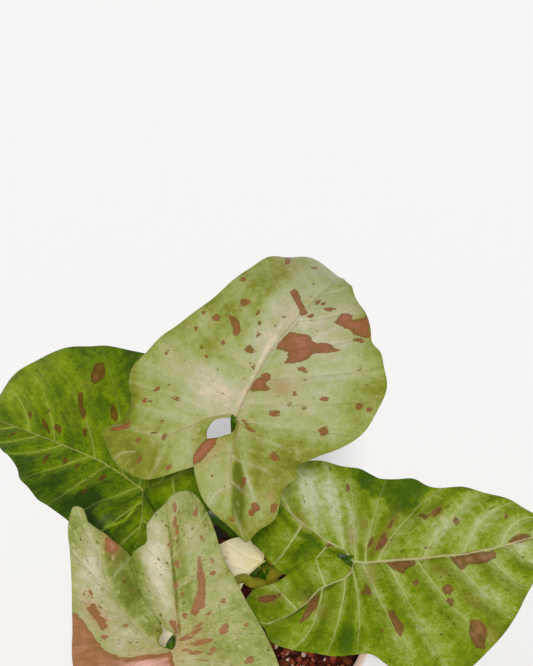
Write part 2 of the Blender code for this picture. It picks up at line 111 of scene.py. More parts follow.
def fill(made, target, inputs):
    """Links or sets a node's sockets, in order or by name or place: an output, a number or a hex code."""
    for key, value in inputs.items() if isinstance(inputs, dict) else enumerate(inputs):
        if isinstance(value, bpy.types.NodeSocket):
            made.node_tree.links.new(value, target.inputs[key])
        else:
            target.inputs[key].default_value = linear(value) if isinstance(value, str) else value


def add(made, kind, inputs=(), out=0, stops=(), **settings):
    """Adds a shader node with its settings and links, and gives one output, or the node for out None."""
    new = made.node_tree.nodes.new("ShaderNode" + kind)
    for key, value in settings.items():
        setattr(new, key, value)
    fill(made, new, inputs)
    if stops:
        band = new.color_ramp.elements
        while len(band) < len(stops):
            band.new(0.5)
        for element, (place, code) in zip(band, stops):
            element.position = place
            element.color = linear(code)
    return new if out is None else new.outputs[out]


def finish(name, inputs):
    """A material named for its real finish, and its shader with the sockets that are the same all over."""
    made = bpy.data.materials.new(name)
    made.use_nodes = True
    shader = made.node_tree.nodes["Principled BSDF"]
    fill(made, shader, inputs)
    return made, shader


card, card_shader = finish("pale matt card", {"Roughness": 0.9, "Specular IOR Level": 0.2})
# Matt card: even and pale, with a faint tooth about a millimetre wide.
card_place = add(card, "TexCoord", out="Object")
card_tooth = add(card, "TexNoise", {"Vector": card_place, "Scale": 900.0, "Detail": 2.0})
fill(card, card_shader, {
    "Base Color": add(card, "Mix", {0: card_tooth, 6: "f0efef", 7: "f3f2f2"}, 2, data_type="RGBA"),
})
floor_mesh = bpy.data.meshes.new("floor")
card_corners = [(CARD_REACH * x, CARD_REACH * y, 0) for x, y in ((-1, -1), (1, -1), (1, 1), (-1, 1))]
floor_mesh.from_pydata(card_corners, [], [(0, 1, 2, 3)])
floor_mesh.materials.append(card)
floor = bpy.data.objects.new("floor", floor_mesh)
floor.location.z = -CARD_DROP
scene.collection.objects.link(floor)


# The pot: thrown or slip-cast stoneware with a pale blush glaze, tapered, with a rounded rim. Its underside
# is wiped bare of glaze so that it does not stick in the kiln, and four holes in the floor let water out.
# Sizes are in millimetres, and MM turns them to metres.
POT_HEIGHT = 100
RIM_RADIUS = 55
FOOT_RADIUS = 39
WALL = 2.8
FLOOR = 4
POT_SPOKES = 144
DRAIN_RING = 22
DRAIN_RADIUS = 4
MM = 0.001


def piece_of(name, patches, finishes, replaced=None):
    """A mesh piece from grids of points in millimetres.

    Each patch has points (rows, columns, 3). Faces join each point to the next one along both directions,
    points that coincide become one, and a face that loses a corner becomes a triangle. Marks are values
    kept at the faces' corners.
    """
    points, quads, kinds, marks, offset = [], [], [], {}, 0
    for patch in patches:
        rows, columns = patch["points"].shape[:2]
        index = np.arange(rows * columns).reshape(rows, columns) + offset
        if patch.get("around"):
            index = np.concatenate([index, index[:, :1]], axis=1)
        corners = np.stack([index[:-1, :-1], index[1:, :-1], index[1:, 1:], index[:-1, 1:]], axis=-1)
        corners = corners.reshape(-1, 4)
        quads.append(corners[:, ::-1] if patch.get("turned") else corners)
        kinds.append(np.full(len(corners), patch.get("kind", 0)))
        for key, values in patch.get("marks", {}).items():
            marks.setdefault(key, []).append(values.reshape(-1, 3))
        points.append(patch["points"].reshape(-1, 3))
        offset += rows * columns
    points, quads, kinds = np.vstack(points), np.vstack(quads), np.concatenate(kinds)
    first, joined = np.unique(np.round(points, 4), axis=0, return_index=True, return_inverse=True)[1:]
    faces = joined.reshape(-1)[quads]
    kept = faces != np.roll(faces, 1, axis=1)
    whole = kept.sum(axis=1) >= 3
    faces, kept, quads, kinds = faces[whole], kept[whole], quads[whole], kinds[whole]
    starts = np.concatenate([[0], np.cumsum(kept.sum(axis=1))[:-1]])
    mesh = bpy.data.meshes.new(name)
    mesh.vertices.add(len(first))
    mesh.vertices.foreach_set("co", (points[first] * MM).astype(np.float32).ravel())
    mesh.loops.add(int(kept.sum()))
    mesh.loops.foreach_set("vertex_index", faces[kept].astype(np.int32))
    mesh.polygons.add(len(faces))
    mesh.polygons.foreach_set("loop_start", starts.astype(np.int32))
    mesh.polygons.foreach_set("material_index", kinds.astype(np.int32))
    mesh.polygons.foreach_set("use_smooth", np.ones(len(faces), bool))
    mesh.update(calc_edges=True)
    for key, values in marks.items():
        layer = mesh.attributes.new(key, "FLOAT_VECTOR", "CORNER")
        layer.data.foreach_set("vector", np.vstack(values)[quads[kept]].astype(np.float32).ravel())
    for made in finishes:
        mesh.materials.append(made)
    piece = bpy.data.objects.new(name, mesh)
    scene.collection.objects.link(piece)
    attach(piece, "root")
    if replaced:
        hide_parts(replaced)
    return piece


def turned_wall(profile, spokes):
    """A profile of radius and height carried round the Z axis: x = r cos t, y = r sin t, z = height."""
    angle = np.linspace(0, 2 * math.pi, spokes, endpoint=False)
    radius, height = np.array(profile, float).T[..., None]
    return np.stack([radius * np.cos(angle), radius * np.sin(angle), height + 0 * angle], axis=-1)


def drained_disc(height, outer, sides):
    """Flat disc with four round holes, as four grids and a middle.

    Each grid runs straight from a hole's edge, at an angle t, to the border of its quarter of the disc.
    """
    inner = 9.0
    turn = np.linspace(0, 2 * math.pi, sides, endpoint=False) - math.pi / 4
    quarter = np.linspace(-math.pi / 4, math.pi / 4, sides // 4 + 1)[:-1]
    spans = (inner + (outer - inner) * np.linspace(0, 1, sides // 4 + 1)[:-1]) / math.sqrt(2)
    far = spans[::-1] + (outer - inner) / math.sqrt(2) / (sides // 4)
    edge = np.concatenate(
        [
            outer * np.stack([np.cos(quarter), np.sin(quarter)], axis=1),
            np.stack([far, far], axis=1),
            inner * np.stack([np.cos(-quarter), np.sin(-quarter)], axis=1),
            np.stack([spans, -spans], axis=1),
        ]
    )
    hole = np.array([DRAIN_RING, 0.0]) + DRAIN_RADIUS * np.stack([np.cos(turn), np.sin(turn)], axis=1)
    flat = hole[None] + (edge - hole)[None] * np.linspace(0, 1, 7)[:, None, None]
    grids = []
    for quarter_turn in np.radians([45, 135, 225, 315]):
        x = flat[..., 0] * math.cos(quarter_turn) - flat[..., 1] * math.sin(quarter_turn)
        y = flat[..., 0] * math.sin(quarter_turn) + flat[..., 1] * math.cos(quarter_turn)
        grids.append(np.stack([x, y, np.full_like(x, height)], axis=-1))
    return grids, turned_wall([(inner, height), (inner / 2, height), (0, height)], sides)


# The glazed profile: the foot, the tapered wall with a faint ripple from the wheel, the rounded rim, the
# inner wall and its bend to the floor
FOOT_ROUND = 2
RIM_ROUND = 1.5
BEND_HEIGHT = 6.4
RIPPLE = 0.05
rim_level = POT_HEIGHT - RIM_ROUND
foot_flat = FOOT_RADIUS - 1.4
wall_foot = FOOT_RADIUS + 0.3
inner_foot = FOOT_RADIUS - WALL + 0.4
inner_rim = RIM_RADIUS - WALL
floor_flat = inner_foot - 3
half_turn = np.linspace(0, math.pi, 11)
quarter_turn = np.linspace(-math.pi / 2, 0, 7)
rise = np.linspace(0, 1, 34)[1:-1]
drop = np.linspace(1, 0, 24)[1:]
wall_radius = wall_foot + (RIM_RADIUS - wall_foot) * rise + RIPPLE * np.sin(rise * 55)
stretches = [
    (foot_flat + (wall_foot - foot_flat) * np.cos(quarter_turn), FOOT_ROUND * (1 + np.sin(quarter_turn))),
    (wall_radius, FOOT_ROUND + (rim_level - FOOT_ROUND) * rise),
    (RIM_RADIUS - WALL / 2 + WALL / 2 * np.cos(half_turn), rim_level + RIM_ROUND * np.sin(half_turn)),
    (inner_foot + (inner_rim - inner_foot) * drop, BEND_HEIGHT + (rim_level - BEND_HEIGHT) * drop),
    ([inner_foot - 0.3, inner_foot - 1, floor_flat], [5.2, 4.5, FLOOR]),
]
glazed_profile = np.concatenate(stretches, axis=1).T

glaze, glaze_shader = finish(
    "pale blush stoneware glaze",
    {"IOR": 1.5, "Coat Weight": 0.3, "Coat Roughness": 0.14},
)
# Blush stoneware glaze, dipped: a soft satin gloss, thinner and warmer at the rim, with faint clouds of
# iron about 30 mm wide and fine specks of 0.3 mm.
glaze_place = add(glaze, "TexCoord", out="Object")
glaze_height = add(glaze, "SeparateXYZ", [glaze_place], 2)
glaze_cloud = add(
    glaze, "TexNoise", {"Vector": glaze_place, "Scale": 34.0, "Detail": 4.0, "Roughness": 0.6}
)
glaze_speck = add(glaze, "TexVoronoi", {"Vector": glaze_place, "Scale": 330.0}, "Distance")
# On the inner side of the wall's middle, a dark brown is painted up to about 5 mm under the rim, with a
# ragged top: painted shade inside the pot
glaze_radius = add(glaze, "VectorMath", [glaze_place, (1, 1, 0)], operation="MULTIPLY")
glaze_radius = add(glaze, "VectorMath", [glaze_radius], "Value", operation="LENGTH")
glaze_middle = add(glaze, "Math", [glaze_height, 0.165, 0.0375], operation="MULTIPLY_ADD")
glaze_inside = add(glaze, "Math", [glaze_middle, glaze_radius], operation="GREATER_THAN")
glaze_inner_shade = add(glaze, "Math", [glaze_cloud, 0.006, glaze_height], operation="MULTIPLY_ADD")
glaze_inner_shade = add(glaze, "MapRange", [glaze_inner_shade, 0.0955, 0.0995, 0.93, 0.0])
glaze_colour = "e9d0c6"
for share, code in (
    (add(glaze, "MapRange", [glaze_cloud, 0.35, 0.7, 0.0, 1.0]), "dfc1b5"),
    (add(glaze, "MapRange", [glaze_height, 0.0965, 0.1, 0.0, 0.5]), "dab0a2"),
    (add(glaze, "MapRange", [glaze_speck, 0.05, 0.12, 0.35, 0.0]), "9a7766"),
    # Painted shade on the inner wall
    (add(glaze, "Math", [glaze_inside, glaze_inner_shade], operation="MULTIPLY"), "24140d"),
):
    glaze_colour = add(glaze, "Mix", {0: share, 6: glaze_colour, 7: code}, 2, data_type="RGBA")
glaze_ripple = add(glaze, "TexNoise", {"Vector": glaze_place, "Scale": 120.0, "Detail": 3.0})
fill(glaze, glaze_shader, {
    "Base Color": glaze_colour,
    "Roughness": add(glaze, "MapRange", [glaze_cloud, 0.25, 0.75, 0.24, 0.36]),
    "Normal": add(glaze, "Bump", {"Strength": 0.35, "Distance": 0.0004, "Height": glaze_ripple}),
})

bisque, bisque_shader = finish(
    "bare wiped stoneware", {"IOR": 1.5, "Roughness": 0.85, "Specular IOR Level": 0.3}
)
# Bare fired clay: dull warm buff with sandy grog about half a millimetre across.
bisque_place = add(bisque, "TexCoord", out="Object")
bisque_grit = add(
    bisque, "TexNoise", {"Vector": bisque_place, "Scale": 1500.0, "Detail": 2.0, "Roughness": 0.6}
)
bisque_cloud = add(bisque, "TexNoise", {"Vector": bisque_place, "Scale": 60.0, "Detail": 3.0})
bisque_colour = add(bisque, "Mix", {0: bisque_cloud, 6: "c9b39c", 7: "b0947a"}, 2, data_type="RGBA")
bisque_share = add(bisque, "MapRange", [bisque_grit, 0.58, 0.7, 0.0, 0.4])
fill(bisque, bisque_shader, {
    "Base Color": add(bisque, "Mix", {0: bisque_share, 6: bisque_colour, 7: "8c735c"}, 2, data_type="RGBA"),
    "Normal": add(bisque, "Bump", {"Strength": 0.6, "Distance": 0.0004, "Height": bisque_grit}),
})

under_quarters, under_middle = drained_disc(0.0, foot_flat, POT_SPOKES)
floor_quarters, floor_middle = drained_disc(FLOOR, floor_flat, POT_SPOKES)
hole_profile = [(DRAIN_RADIUS, height) for height in (0, 0.4, 2.0, FLOOR - 0.4, FLOOR)]
hole_wall = turned_wall(hole_profile, POT_SPOKES)
pot_patches = [
    {"points": turned_wall(glazed_profile, POT_SPOKES), "around": True, "turned": True},
    {"points": under_middle, "around": True, "kind": 1},
    {"points": floor_middle, "around": True, "turned": True},
]
for k, hole_turn in enumerate(np.radians([45, 135, 225, 315])):
    middle = DRAIN_RING * np.array([math.cos(hole_turn), math.sin(hole_turn), 0])
    pot_patches += [
        {"points": under_quarters[k], "around": True, "kind": 1, "turned": True},
        {"points": floor_quarters[k], "around": True},
        {"points": hole_wall + middle, "around": True, "kind": 1},
    ]
piece_of("glazed_pot", pot_patches, [glaze, bisque], "pot")


# The soil: a free-draining mix of peat fines, bark chips, crumbs of baked red clay and pale bits of
# perlite, poured in to 12 mm below the rim and settled round the stem.
SOIL_TOP = 88
SOIL_GAP = 0.45
BED_SHOULDER = 85.4
BED_SPOKES = 150
BED_ROWS = 56
CRUMB = 0.45
LUMPS = 90
LUMP_REACH = 47
LUMP_LIMIT = 50.2
STEM_FOOT = (11.5, 13.0)
draw = np.random.default_rng(11)
lump_angle = draw.uniform(0, 2 * math.pi, LUMPS)
lump_reach = LUMP_REACH * np.sqrt(draw.uniform(0.02, 1, LUMPS))
lump_x = lump_reach * np.cos(lump_angle)
lump_y = lump_reach * np.sin(lump_angle)
lump_size = draw.uniform(3.0, 6.0, LUMPS)
lump_height = draw.uniform(0.6, 2.4, LUMPS)


def soil_height(x, y):
    """Height of the bed: 1 mm under SOIL_TOP, plus the tallest lump h (1 - d^2 / s^2), less by the wall."""
    away = (lump_x - x[..., None]) ** 2 + (lump_y - y[..., None]) ** 2
    bump = np.max(lump_height * np.clip(1 - away / lump_size**2, 0, None), axis=-1)
    edge = np.clip((LUMP_LIMIT - np.hypot(x, y)) / 5 + 0.25, 0, 1)
    return SOIL_TOP - 1.0 + bump * edge


def soil_radius(height):
    """The soil's radius at a height: the pot's inner wall, straight from bend to rim, less the gap."""
    share = (height - BEND_HEIGHT) / (rim_level - BEND_HEIGHT)
    return inner_foot + share * (inner_rim - inner_foot) - SOIL_GAP


bed_angle = np.linspace(0, 2 * math.pi, BED_SPOKES, endpoint=False)[None]
bed_reach = soil_radius(SOIL_TOP) * np.linspace(1, 0, BED_ROWS)[:, None]
bed_x, bed_y = bed_reach * np.cos(bed_angle), bed_reach * np.sin(bed_angle)
crumbs = draw.uniform(-CRUMB, CRUMB, bed_x.shape)
crumbs[0] = -0.6
crumbs[-1] = 0
bed_top = np.stack([bed_x, bed_y, soil_height(bed_x, bed_y) + crumbs], axis=-1)
bed_floor = FLOOR + SOIL_GAP
side_profile = [
    (0, bed_floor), (floor_flat - 0.4, bed_floor), (soil_radius(8), 8),
    (soil_radius(SOIL_TOP), BED_SHOULDER),
]
bed_side = turned_wall(side_profile, BED_SPOKES)
peat, peat_shader = finish("damp peat fines", {"Roughness": 0.95, "Specular IOR Level": 0.25})
# Peat and fine bark: dark red brown, crumbly at a millimetre, dull and damp.
peat_place = add(peat, "TexCoord", out="Object")
peat_crumb = add(peat, "TexNoise", {"Vector": peat_place, "Scale": 620.0, "Detail": 5.0, "Roughness": 0.7})
peat_stops = [(0.3, "1a0602"), (0.5, "401006"), (0.62, "722a14"), (0.74, "9a5036")]
fill(peat, peat_shader, {
    "Base Color": add(peat, "ValToRGB", [peat_crumb], stops=peat_stops),
    "Normal": add(peat, "Bump", {"Strength": 1.0, "Distance": 0.0012, "Height": peat_crumb}),
})
bed = {"points": np.concatenate([bed_side, bed_top]), "around": True, "turned": True}
piece_of("peat_bed", [bed], [peat], "soil")


GRAIN_REACH = 49.5
STEM_ROOM = 5.5


def grains(count, size, flatness, lumpiness, sink, seed, rings=5, spokes=7):
    """Many small rough stones, each a grid.

    Each is a ball of directions d, scaled by 1 + lumpiness cos(1.6 w . d + p) with a random wave w and
    phase p, stretched to three random sizes, turned by a random quaternion and set on the bed at a random
    place, clear of the stem.
    """
    dice = np.random.default_rng(seed)
    polar = np.linspace(0, math.pi, rings)[:, None]
    around = np.linspace(0, 2 * math.pi, spokes, endpoint=False)[None]
    ball = [np.sin(polar) * np.cos(around), np.sin(polar) * np.sin(around), np.cos(polar) + 0 * around]
    ball = np.stack(ball, axis=-1)[None]
    wave = dice.uniform(-3, 3, (count, 1, 1, 3))
    phase = dice.uniform(0, 6.28, (count, 1, 1))
    ripple = np.cos(np.sum(ball * wave, axis=-1) * 1.6 + phase)
    shaped = ball * (1 + lumpiness * ripple)[..., None]
    length = dice.uniform(*size, count)
    halves = length[:, None] * np.stack(
        [np.ones(count), dice.uniform(0.55, 0.95, count), dice.uniform(*flatness, count)], axis=1
    )
    w, x, y, z = np.moveaxis(dice.normal(size=(count, 4)) * [1.6, 0.5, 0.5, 1.6], 1, 0)
    scale = 2 / (w * w + x * x + y * y + z * z)
    spin = np.moveaxis(
        np.array(
            [
                [1 - scale * (y * y + z * z), scale * (x * y - z * w), scale * (x * z + y * w)],
                [scale * (x * y + z * w), 1 - scale * (x * x + z * z), scale * (y * z - x * w)],
                [scale * (x * z - y * w), scale * (y * z + x * w), 1 - scale * (x * x + y * y)],
            ]
        ),
        2,
        0,
    )
    shaped = np.einsum("nij,nrsj->nrsi", spin, shaped * halves[:, None, None] / 2)
    reach = np.abs(GRAIN_REACH * np.sqrt(dice.uniform(0, 1, count)) - length * 0.45)
    bearing = dice.uniform(0, 2 * math.pi, count)
    x, y = reach * np.cos(bearing), reach * np.sin(bearing)
    height = soil_height(x, y) + halves[:, 2] * dice.uniform(*sink, count)
    placed = shaped + np.stack([x, y, height], axis=1)[:, None, None]
    shades = np.broadcast_to(dice.uniform(0, 1, (count, 1, 1, 3)), placed.shape)
    clear = np.hypot(x - STEM_FOOT[0], y - STEM_FOOT[1]) > STEM_ROOM + length / 2
    return [
        {"points": stone, "around": True, "marks": {"grain": shade}}
        for stone, shade in zip(placed[clear], shades[clear])
    ]


# Bark is torn and flaky, red brown to tan, with pits of 1.2 mm. Baked clay is dull brick red with pores of
# 0.7 mm. Perlite is chalky, stained pink by the clay, with pores of 0.5 mm.
for name, finish_name, stops, pit, stones in (
    (
        "bark_chips", "composted bark",
        [(0.0, "240a02"), (0.3, "56200a"), (0.65, "884818"), (1.0, "ba8448")], 1.2,
        grains(400, (2.6, 6.4), (0.25, 0.5), 0.3, (0.2, 0.9), 21),
    ),
    (
        "clay_crumbs", "baked clay crumb",
        [(0.0, "4a1008"), (0.4, "7a2612"), (0.8, "a24a34"), (1.0, "c07c60")], 0.7,
        grains(980, (1.2, 3.6), (0.45, 0.9), 0.34, (0.1, 0.9), 22),
    ),
    (
        "perlite_bits", "stained perlite",
        [(0.0, "b07868"), (0.5, "dab09e"), (1.0, "ecd4c6")], 0.5,
        grains(330, (0.8, 2.3), (0.6, 0.95), 0.32, (0.4, 1.2), 23),
    ),
):
    made, shader = finish(finish_name, {"Roughness": 0.88, "Specular IOR Level": 0.3})
    place = add(made, "TexCoord", out="Object")
    pits = add(made, "TexNoise", {"Vector": place, "Scale": 1000 / pit, "Detail": 4.0, "Roughness": 0.65})
    hue = add(made, "SeparateXYZ", [add(made, "Attribute", out="Vector", attribute_name="grain")])
    shade = add(made, "Math", [hue, 0.3], operation="SUBTRACT")
    shade = add(made, "Math", [pits, 0.6, shade], operation="MULTIPLY_ADD")
    fill(made, shader, {
        "Base Color": add(made, "ValToRGB", [shade], stops=stops),
        "Normal": add(made, "Bump", {"Strength": 0.9, "Distance": 0.0007, "Height": pits}),
    })
    piece_of(name, stones, [made])


# The stem with its petioles: a short green stem with ringed joints, five petioles that clasp it with the
# thin wings of their sheaths, and the pale point of the next sheath. A petiole is round with a shallow
# groove on its inner side.
STALK_SIDES = 26


def smooth_line(stations, shares):
    """Points at shares of the length of a Catmull-Rom curve.

    Between stations P1 and P2 the curve is half of 2 P1 + (P2 - P0) u + (2 P0 - 5 P1 + 4 P2 - P3) u^2
    + (3 P1 - P0 - 3 P2 + P3) u^3, and the length is measured on the first three values of a station.
    """
    known = np.array(stations, float)
    padded = np.vstack([2 * known[0] - known[1], known, 2 * known[-1] - known[-2]])
    steps = np.linspace(0, len(known) - 1, 40 * (len(known) - 1) + 1)
    at = np.minimum(steps.astype(int), len(known) - 2)
    u = (steps - at)[:, None]
    p, q, r, s = padded[at], padded[at + 1], padded[at + 2], padded[at + 3]
    fine = 0.5 * (2 * q + (r - p) * u + (2 * p - 5 * q + 4 * r - s) * u**2 + (3 * q - p - 3 * r + s) * u**3)
    length = np.concatenate([[0], np.cumsum(np.linalg.norm(np.diff(fine[:, :3], axis=0), axis=1))])
    wanted = np.asarray(shares) * length[-1]
    return np.stack([np.interp(wanted, length, fine[:, i]) for i in range(fine.shape[1])], axis=1)


def stalk(stations, inner_side, steps, sides, sheath, wing, groove, paleness):
    """Grid of a grooved stalk, closed at both ends.

    At share s of the path and angle u from the inner side the radius is R(s) (1 - groove exp(-(u / 0.5)^2))
    plus two wings exp(-((|u| - 0.8) / 0.22)^2), which shrink to nothing over the first sheath share of the
    length. Its paleness fades by (1.35 - 1.6 s) from the foot up.
    """
    share = np.linspace(0, 1, steps)
    line = smooth_line(stations, share)
    path = line[:, :3]
    ahead = np.gradient(path, axis=0)
    ahead /= np.linalg.norm(ahead, axis=1, keepdims=True)
    inner = np.array(inner_side, float) - ahead * (ahead @ np.array(inner_side, float))[:, None]
    inner /= np.linalg.norm(inner, axis=1, keepdims=True)
    across = np.cross(ahead, inner)
    angle = np.linspace(-math.pi, math.pi, sides, endpoint=False)
    dip = groove * np.exp(-((angle / 0.5) ** 2))
    ridge = np.exp(-(((np.abs(angle) - 0.8) / 0.22) ** 2))
    tall = wing * np.clip(1 - share / sheath, 0, 1) ** 0.6 * np.clip(share / 0.05, 0, 1)
    reach = line[:, 3:] * (1 - dip) + tall[:, None] * ridge
    ring = inner[:, None] * np.cos(angle)[:, None] + across[:, None] * np.sin(angle)[:, None]
    points = path[:, None] + ring * reach[..., None]
    length = np.concatenate([[0], np.cumsum(np.linalg.norm(np.diff(path, axis=0), axis=1))])
    fresh = paleness * np.clip(1.35 - 1.6 * share, 0, 1)
    pale = np.clip(fresh[:, None] + 0.7 * np.clip(tall / 1.5, 0, 1)[:, None] * ridge, 0, 1)
    marks = np.stack([length[:, None] + 0 * angle, angle * 1.6 + 0 * length[:, None], pale], axis=-1)
    ends = np.repeat(path[[0, -1], None], sides, axis=1)
    return {
        "points": np.concatenate([ends[:1], points, ends[1:]]),
        "around": True,
        "turned": True,
        "marks": {"stalk": np.concatenate([marks[:1], marks, marks[-1:]])},
    }


# Stations of x, y, z and radius, inner side, steps along, sheath share, wing height, groove, paleness. The
# stem comes first, then the petioles of the top, left, front, right and young leaf, and the next sheath.
stalks = [
    (
        [
            (STEM_FOOT[0], STEM_FOOT[1], 84, 4.1), (11.6, 13.0, 88, 4.3), (11.8, 13.0, 91, 4.0),
            (12.2, 12.9, 94.5, 3.7), (12.5, 12.8, 96.2, 4.1), (12.8, 12.7, 97.6, 3.7),
            (13.6, 12.5, 103, 3.4), (14.0, 12.3, 105.2, 3.7), (14.2, 12.2, 106.6, 3.3),
            (14.4, 11.9, 112.5, 1.6),
        ],
        (1, 0, 0), 40, 0.01, 0, 0, 0.55,
    ),
    (
        [
            (13.4, 13.6, 96, 2.6), (15.0, 17.0, 108, 2.5), (13.4, 19.0, 130, 1.8), (7.8, 13.6, 162, 1.5),
            (4.1, 3.2, 188, 1.4), (3.9, -1.6, 199.6, 1.6), (4.2, -3.5, 204.6, 1.8),
        ],
        (-0.85, 0.5, 0), 90, 0.34, 1.5, 0.16, 0.75,
    ),
    (
        [
            (12.6, 13.4, 90, 2.6), (11.5, 17.5, 98, 2.4), (6.5, 24.5, 108, 1.9), (-3.0, 22.5, 125, 1.7),
            (-14.0, 14.0, 141, 1.5), (-24.5, 9.2, 150, 1.4), (-27.9, 7.9, 153.4, 1.5),
            (-29.28, 7.48, 157.6, 1.7),
        ],
        (0.25, 0.95, 0), 90, 0.3, 1.5, 0.16, 0.0,
    ),
    (
        [
            (13.6, 11.6, 98, 2.6), (13.0, 7.0, 107, 2.3), (9.2, 1.6, 114.5, 1.9), (4.4, -3.0, 122, 1.7),
            (-8.0, -24.5, 132, 1.5), (-16.3, -41.5, 136.6, 1.6), (-18.2, -46.6, 137.6, 1.9),
            (-17.9, -49.4, 139.6, 2.0),
        ],
        (-0.85, 0.45, 0), 90, 0.3, 1.5, 0.16, 0.6,
    ),
    (
        [
            (13.8, 12.2, 100, 2.6), (18.5, 9.6, 112, 2.3), (31.0, 2.6, 125.6, 1.8),
            (40.6, -5.0, 134.2, 2.3), (42.8, -8.4, 137.8, 3.0), (44.8, -12.0, 141.4, 2.4),
        ],
        (0.6, 0.8, 0), 90, 0.4, 1.5, 0.16, 0.6,
    ),
    (
        [(14.4, 12.0, 106, 1.9), (13.9, 11.6, 112, 1.5), (13.2, 10.9, 116.6, 1.1)],
        (0.6, -0.75, 0), 30, 0.9, 0.5, 0.16, 0.8,
    ),
    (
        [(14.3, 12.0, 103, 2.4), (16.0, 11.2, 109, 2.0), (18.2, 10.2, 114.5, 1.2), (19.8, 9.6, 118, 0.25)],
        (-0.8, -0.6, 0), 30, 0.95, 0.7, 0.3, 0.85,
    ),
]
skin, skin_shader = finish("green petiole skin", {"IOR": 1.42, "Specular IOR Level": 0.12})
# Living skin, smooth and waxy: deep green with fine lengthwise streaks 0.5 mm wide, paler towards the foot
# and on the sheaths' thin wings, with brown flecks about a millimetre long.
skin_place = add(skin, "Attribute", out="Vector", attribute_name="stalk")
skin_pale = add(skin, "SeparateXYZ", [skin_place], 2)
skin_long = add(skin, "VectorMath", [skin_place, (0.09, 2.2, 0.0)], operation="MULTIPLY")
skin_streak = add(skin, "TexNoise", {"Vector": skin_long, "Scale": 2.0, "Detail": 3.0})
skin_dots = add(skin, "VectorMath", [skin_place, (0.35, 1.0, 0.0)], operation="MULTIPLY")
skin_fleck = add(skin, "TexNoise", {"Vector": skin_dots, "Scale": 3.2, "Detail": 1.0})
skin_stops = [(0.3, "1c3a00"), (0.5, "345600"), (0.62, "4f7006"), (0.75, "7d9430")]
skin_colour = add(skin, "ValToRGB", [skin_streak], stops=skin_stops)
for share, code in (
    (skin_pale, "c4b636"),
    (add(skin, "MapRange", [skin_fleck, 0.66, 0.72, 0.0, 0.7]), "5a3f1c"),
):
    skin_colour = add(skin, "Mix", {0: share, 6: skin_colour, 7: code}, 2, data_type="RGBA")
fill(skin, skin_shader, {
    "Base Color": skin_colour,
    "Roughness": add(skin, "MapRange", [skin_streak, 0.3, 0.7, 0.26, 0.38]),
    "Normal": add(skin, "Bump", {"Strength": 0.5, "Distance": 0.0004, "Height": skin_streak}),
})
stalk_patches = [
    stalk(stations, inner_side, steps, STALK_SIDES, sheath, wing, groove, paleness)
    for stations, inner_side, steps, sheath, wing, groove, paleness in stalks
]
piece_of("stem_and_petioles", stalk_patches, [skin], "stem_with_petioles")


# The top leaf: a living blade 0.44 mm thick, milky green with rosy brown splashes, arched so that its tip
# hangs behind. A midrib and two lobe ribs carry curved side veins out to the margin, and the tissue between
# them puffs up a little. Like the other blades it grows from its petiole as one piece.
BLADE_THICKNESS = 0.44
MARGIN_ROUND = 0.16
MARGIN_STEPS = 1600
MIDRIB_ROWS = 104
RIB_ROWS = 36
LOBE_ROWS = 20
ACROSS = 50
LEAN_REACH = 160
RUFFLE = 0.2
RIB_GROOVE = 0.35
GROOVE_HALF = 1.2
EDGE_THINNING = 0.35


def bent(distance, lean_of):
    """How far along and how high points end on a line that leans by lean_of: sums of cosines and sines."""
    known = np.linspace(-LEAN_REACH, LEAN_REACH, 20 * LEAN_REACH + 1)
    middle = len(known) // 2
    lean = lean_of(known)
    run, rise = (
        np.concatenate([[0], np.cumsum((part(lean[1:]) + part(lean[:-1])) / 2 * (known[1] - known[0]))])
        for part in (np.cos, np.sin)
    )
    return np.interp(distance, known, run) - run[middle], np.interp(distance, known, rise) - rise[middle]


def blade_point(leaf, a, b, lift):
    """Place in millimetres of points a along the midrib and b to its left on a bent blade.

    The midrib leaves the petiole at the leaf's turn and pitch. Ahead it droops by
    tip_droop (a / 80) ^ droop_power, a third as fast past 80 mm, and behind by lobe_droop (|a| / 50) ^ 1.3.
    Across it the blade leans by fold tanh(|b| / 4) less curl |b| / 50. The place is the petiole's end plus
    the sums along and across, plus the lift along the bent midrib's upright.
    """
    a, b = a * leaf["size"], b * leaf["size"]
    turn, pitch, roll = (math.radians(leaf[key]) for key in ("turn", "pitch", "roll"))
    ahead = np.array([math.cos(pitch) * math.cos(turn), math.cos(pitch) * math.sin(turn), math.sin(pitch)])
    level = np.array([-math.sin(turn), math.cos(turn), 0.0])
    upright = np.cross(ahead, level)
    left = math.cos(roll) * level + math.sin(roll) * upright
    up = math.cos(roll) * upright - math.sin(roll) * level

    def droop(x):
        share = (np.abs(x) / 80) ** leaf["droop_power"]
        share = np.where(share > 1, 1 + 0.35 * (share - 1), share)
        backward = math.radians(leaf["lobe_droop"]) * (np.abs(x) / 50) ** 1.3
        return np.where(x >= 0, -math.radians(leaf["tip_droop"]) * share, backward)

    def fold(x):
        side = np.where(x >= 0, math.radians(leaf["fold_left"]), -math.radians(leaf["fold_right"]))
        return side * np.tanh(np.abs(x) / 4) - np.sign(x) * math.radians(leaf["curl"]) * np.abs(x) / 50

    run, rise = bent(a, droop)
    lean = droop(a)[..., None]
    out, height = bent(b, fold)
    return (
        np.array(leaf["at"]) + run[..., None] * ahead + rise[..., None] * up + out[..., None] * left
        + (height + lift)[..., None] * (np.cos(lean) * up - np.sin(lean) * ahead)
    )


def along(line, share):
    """Points at shares of the length of a line given by its corners."""
    known = np.array(line, float)
    length = np.concatenate([[0], np.cumsum(np.linalg.norm(np.diff(known, axis=0), axis=1))])
    return np.stack([np.interp(share * length[-1], length, known[:, i]) for i in range(2)], axis=-1)


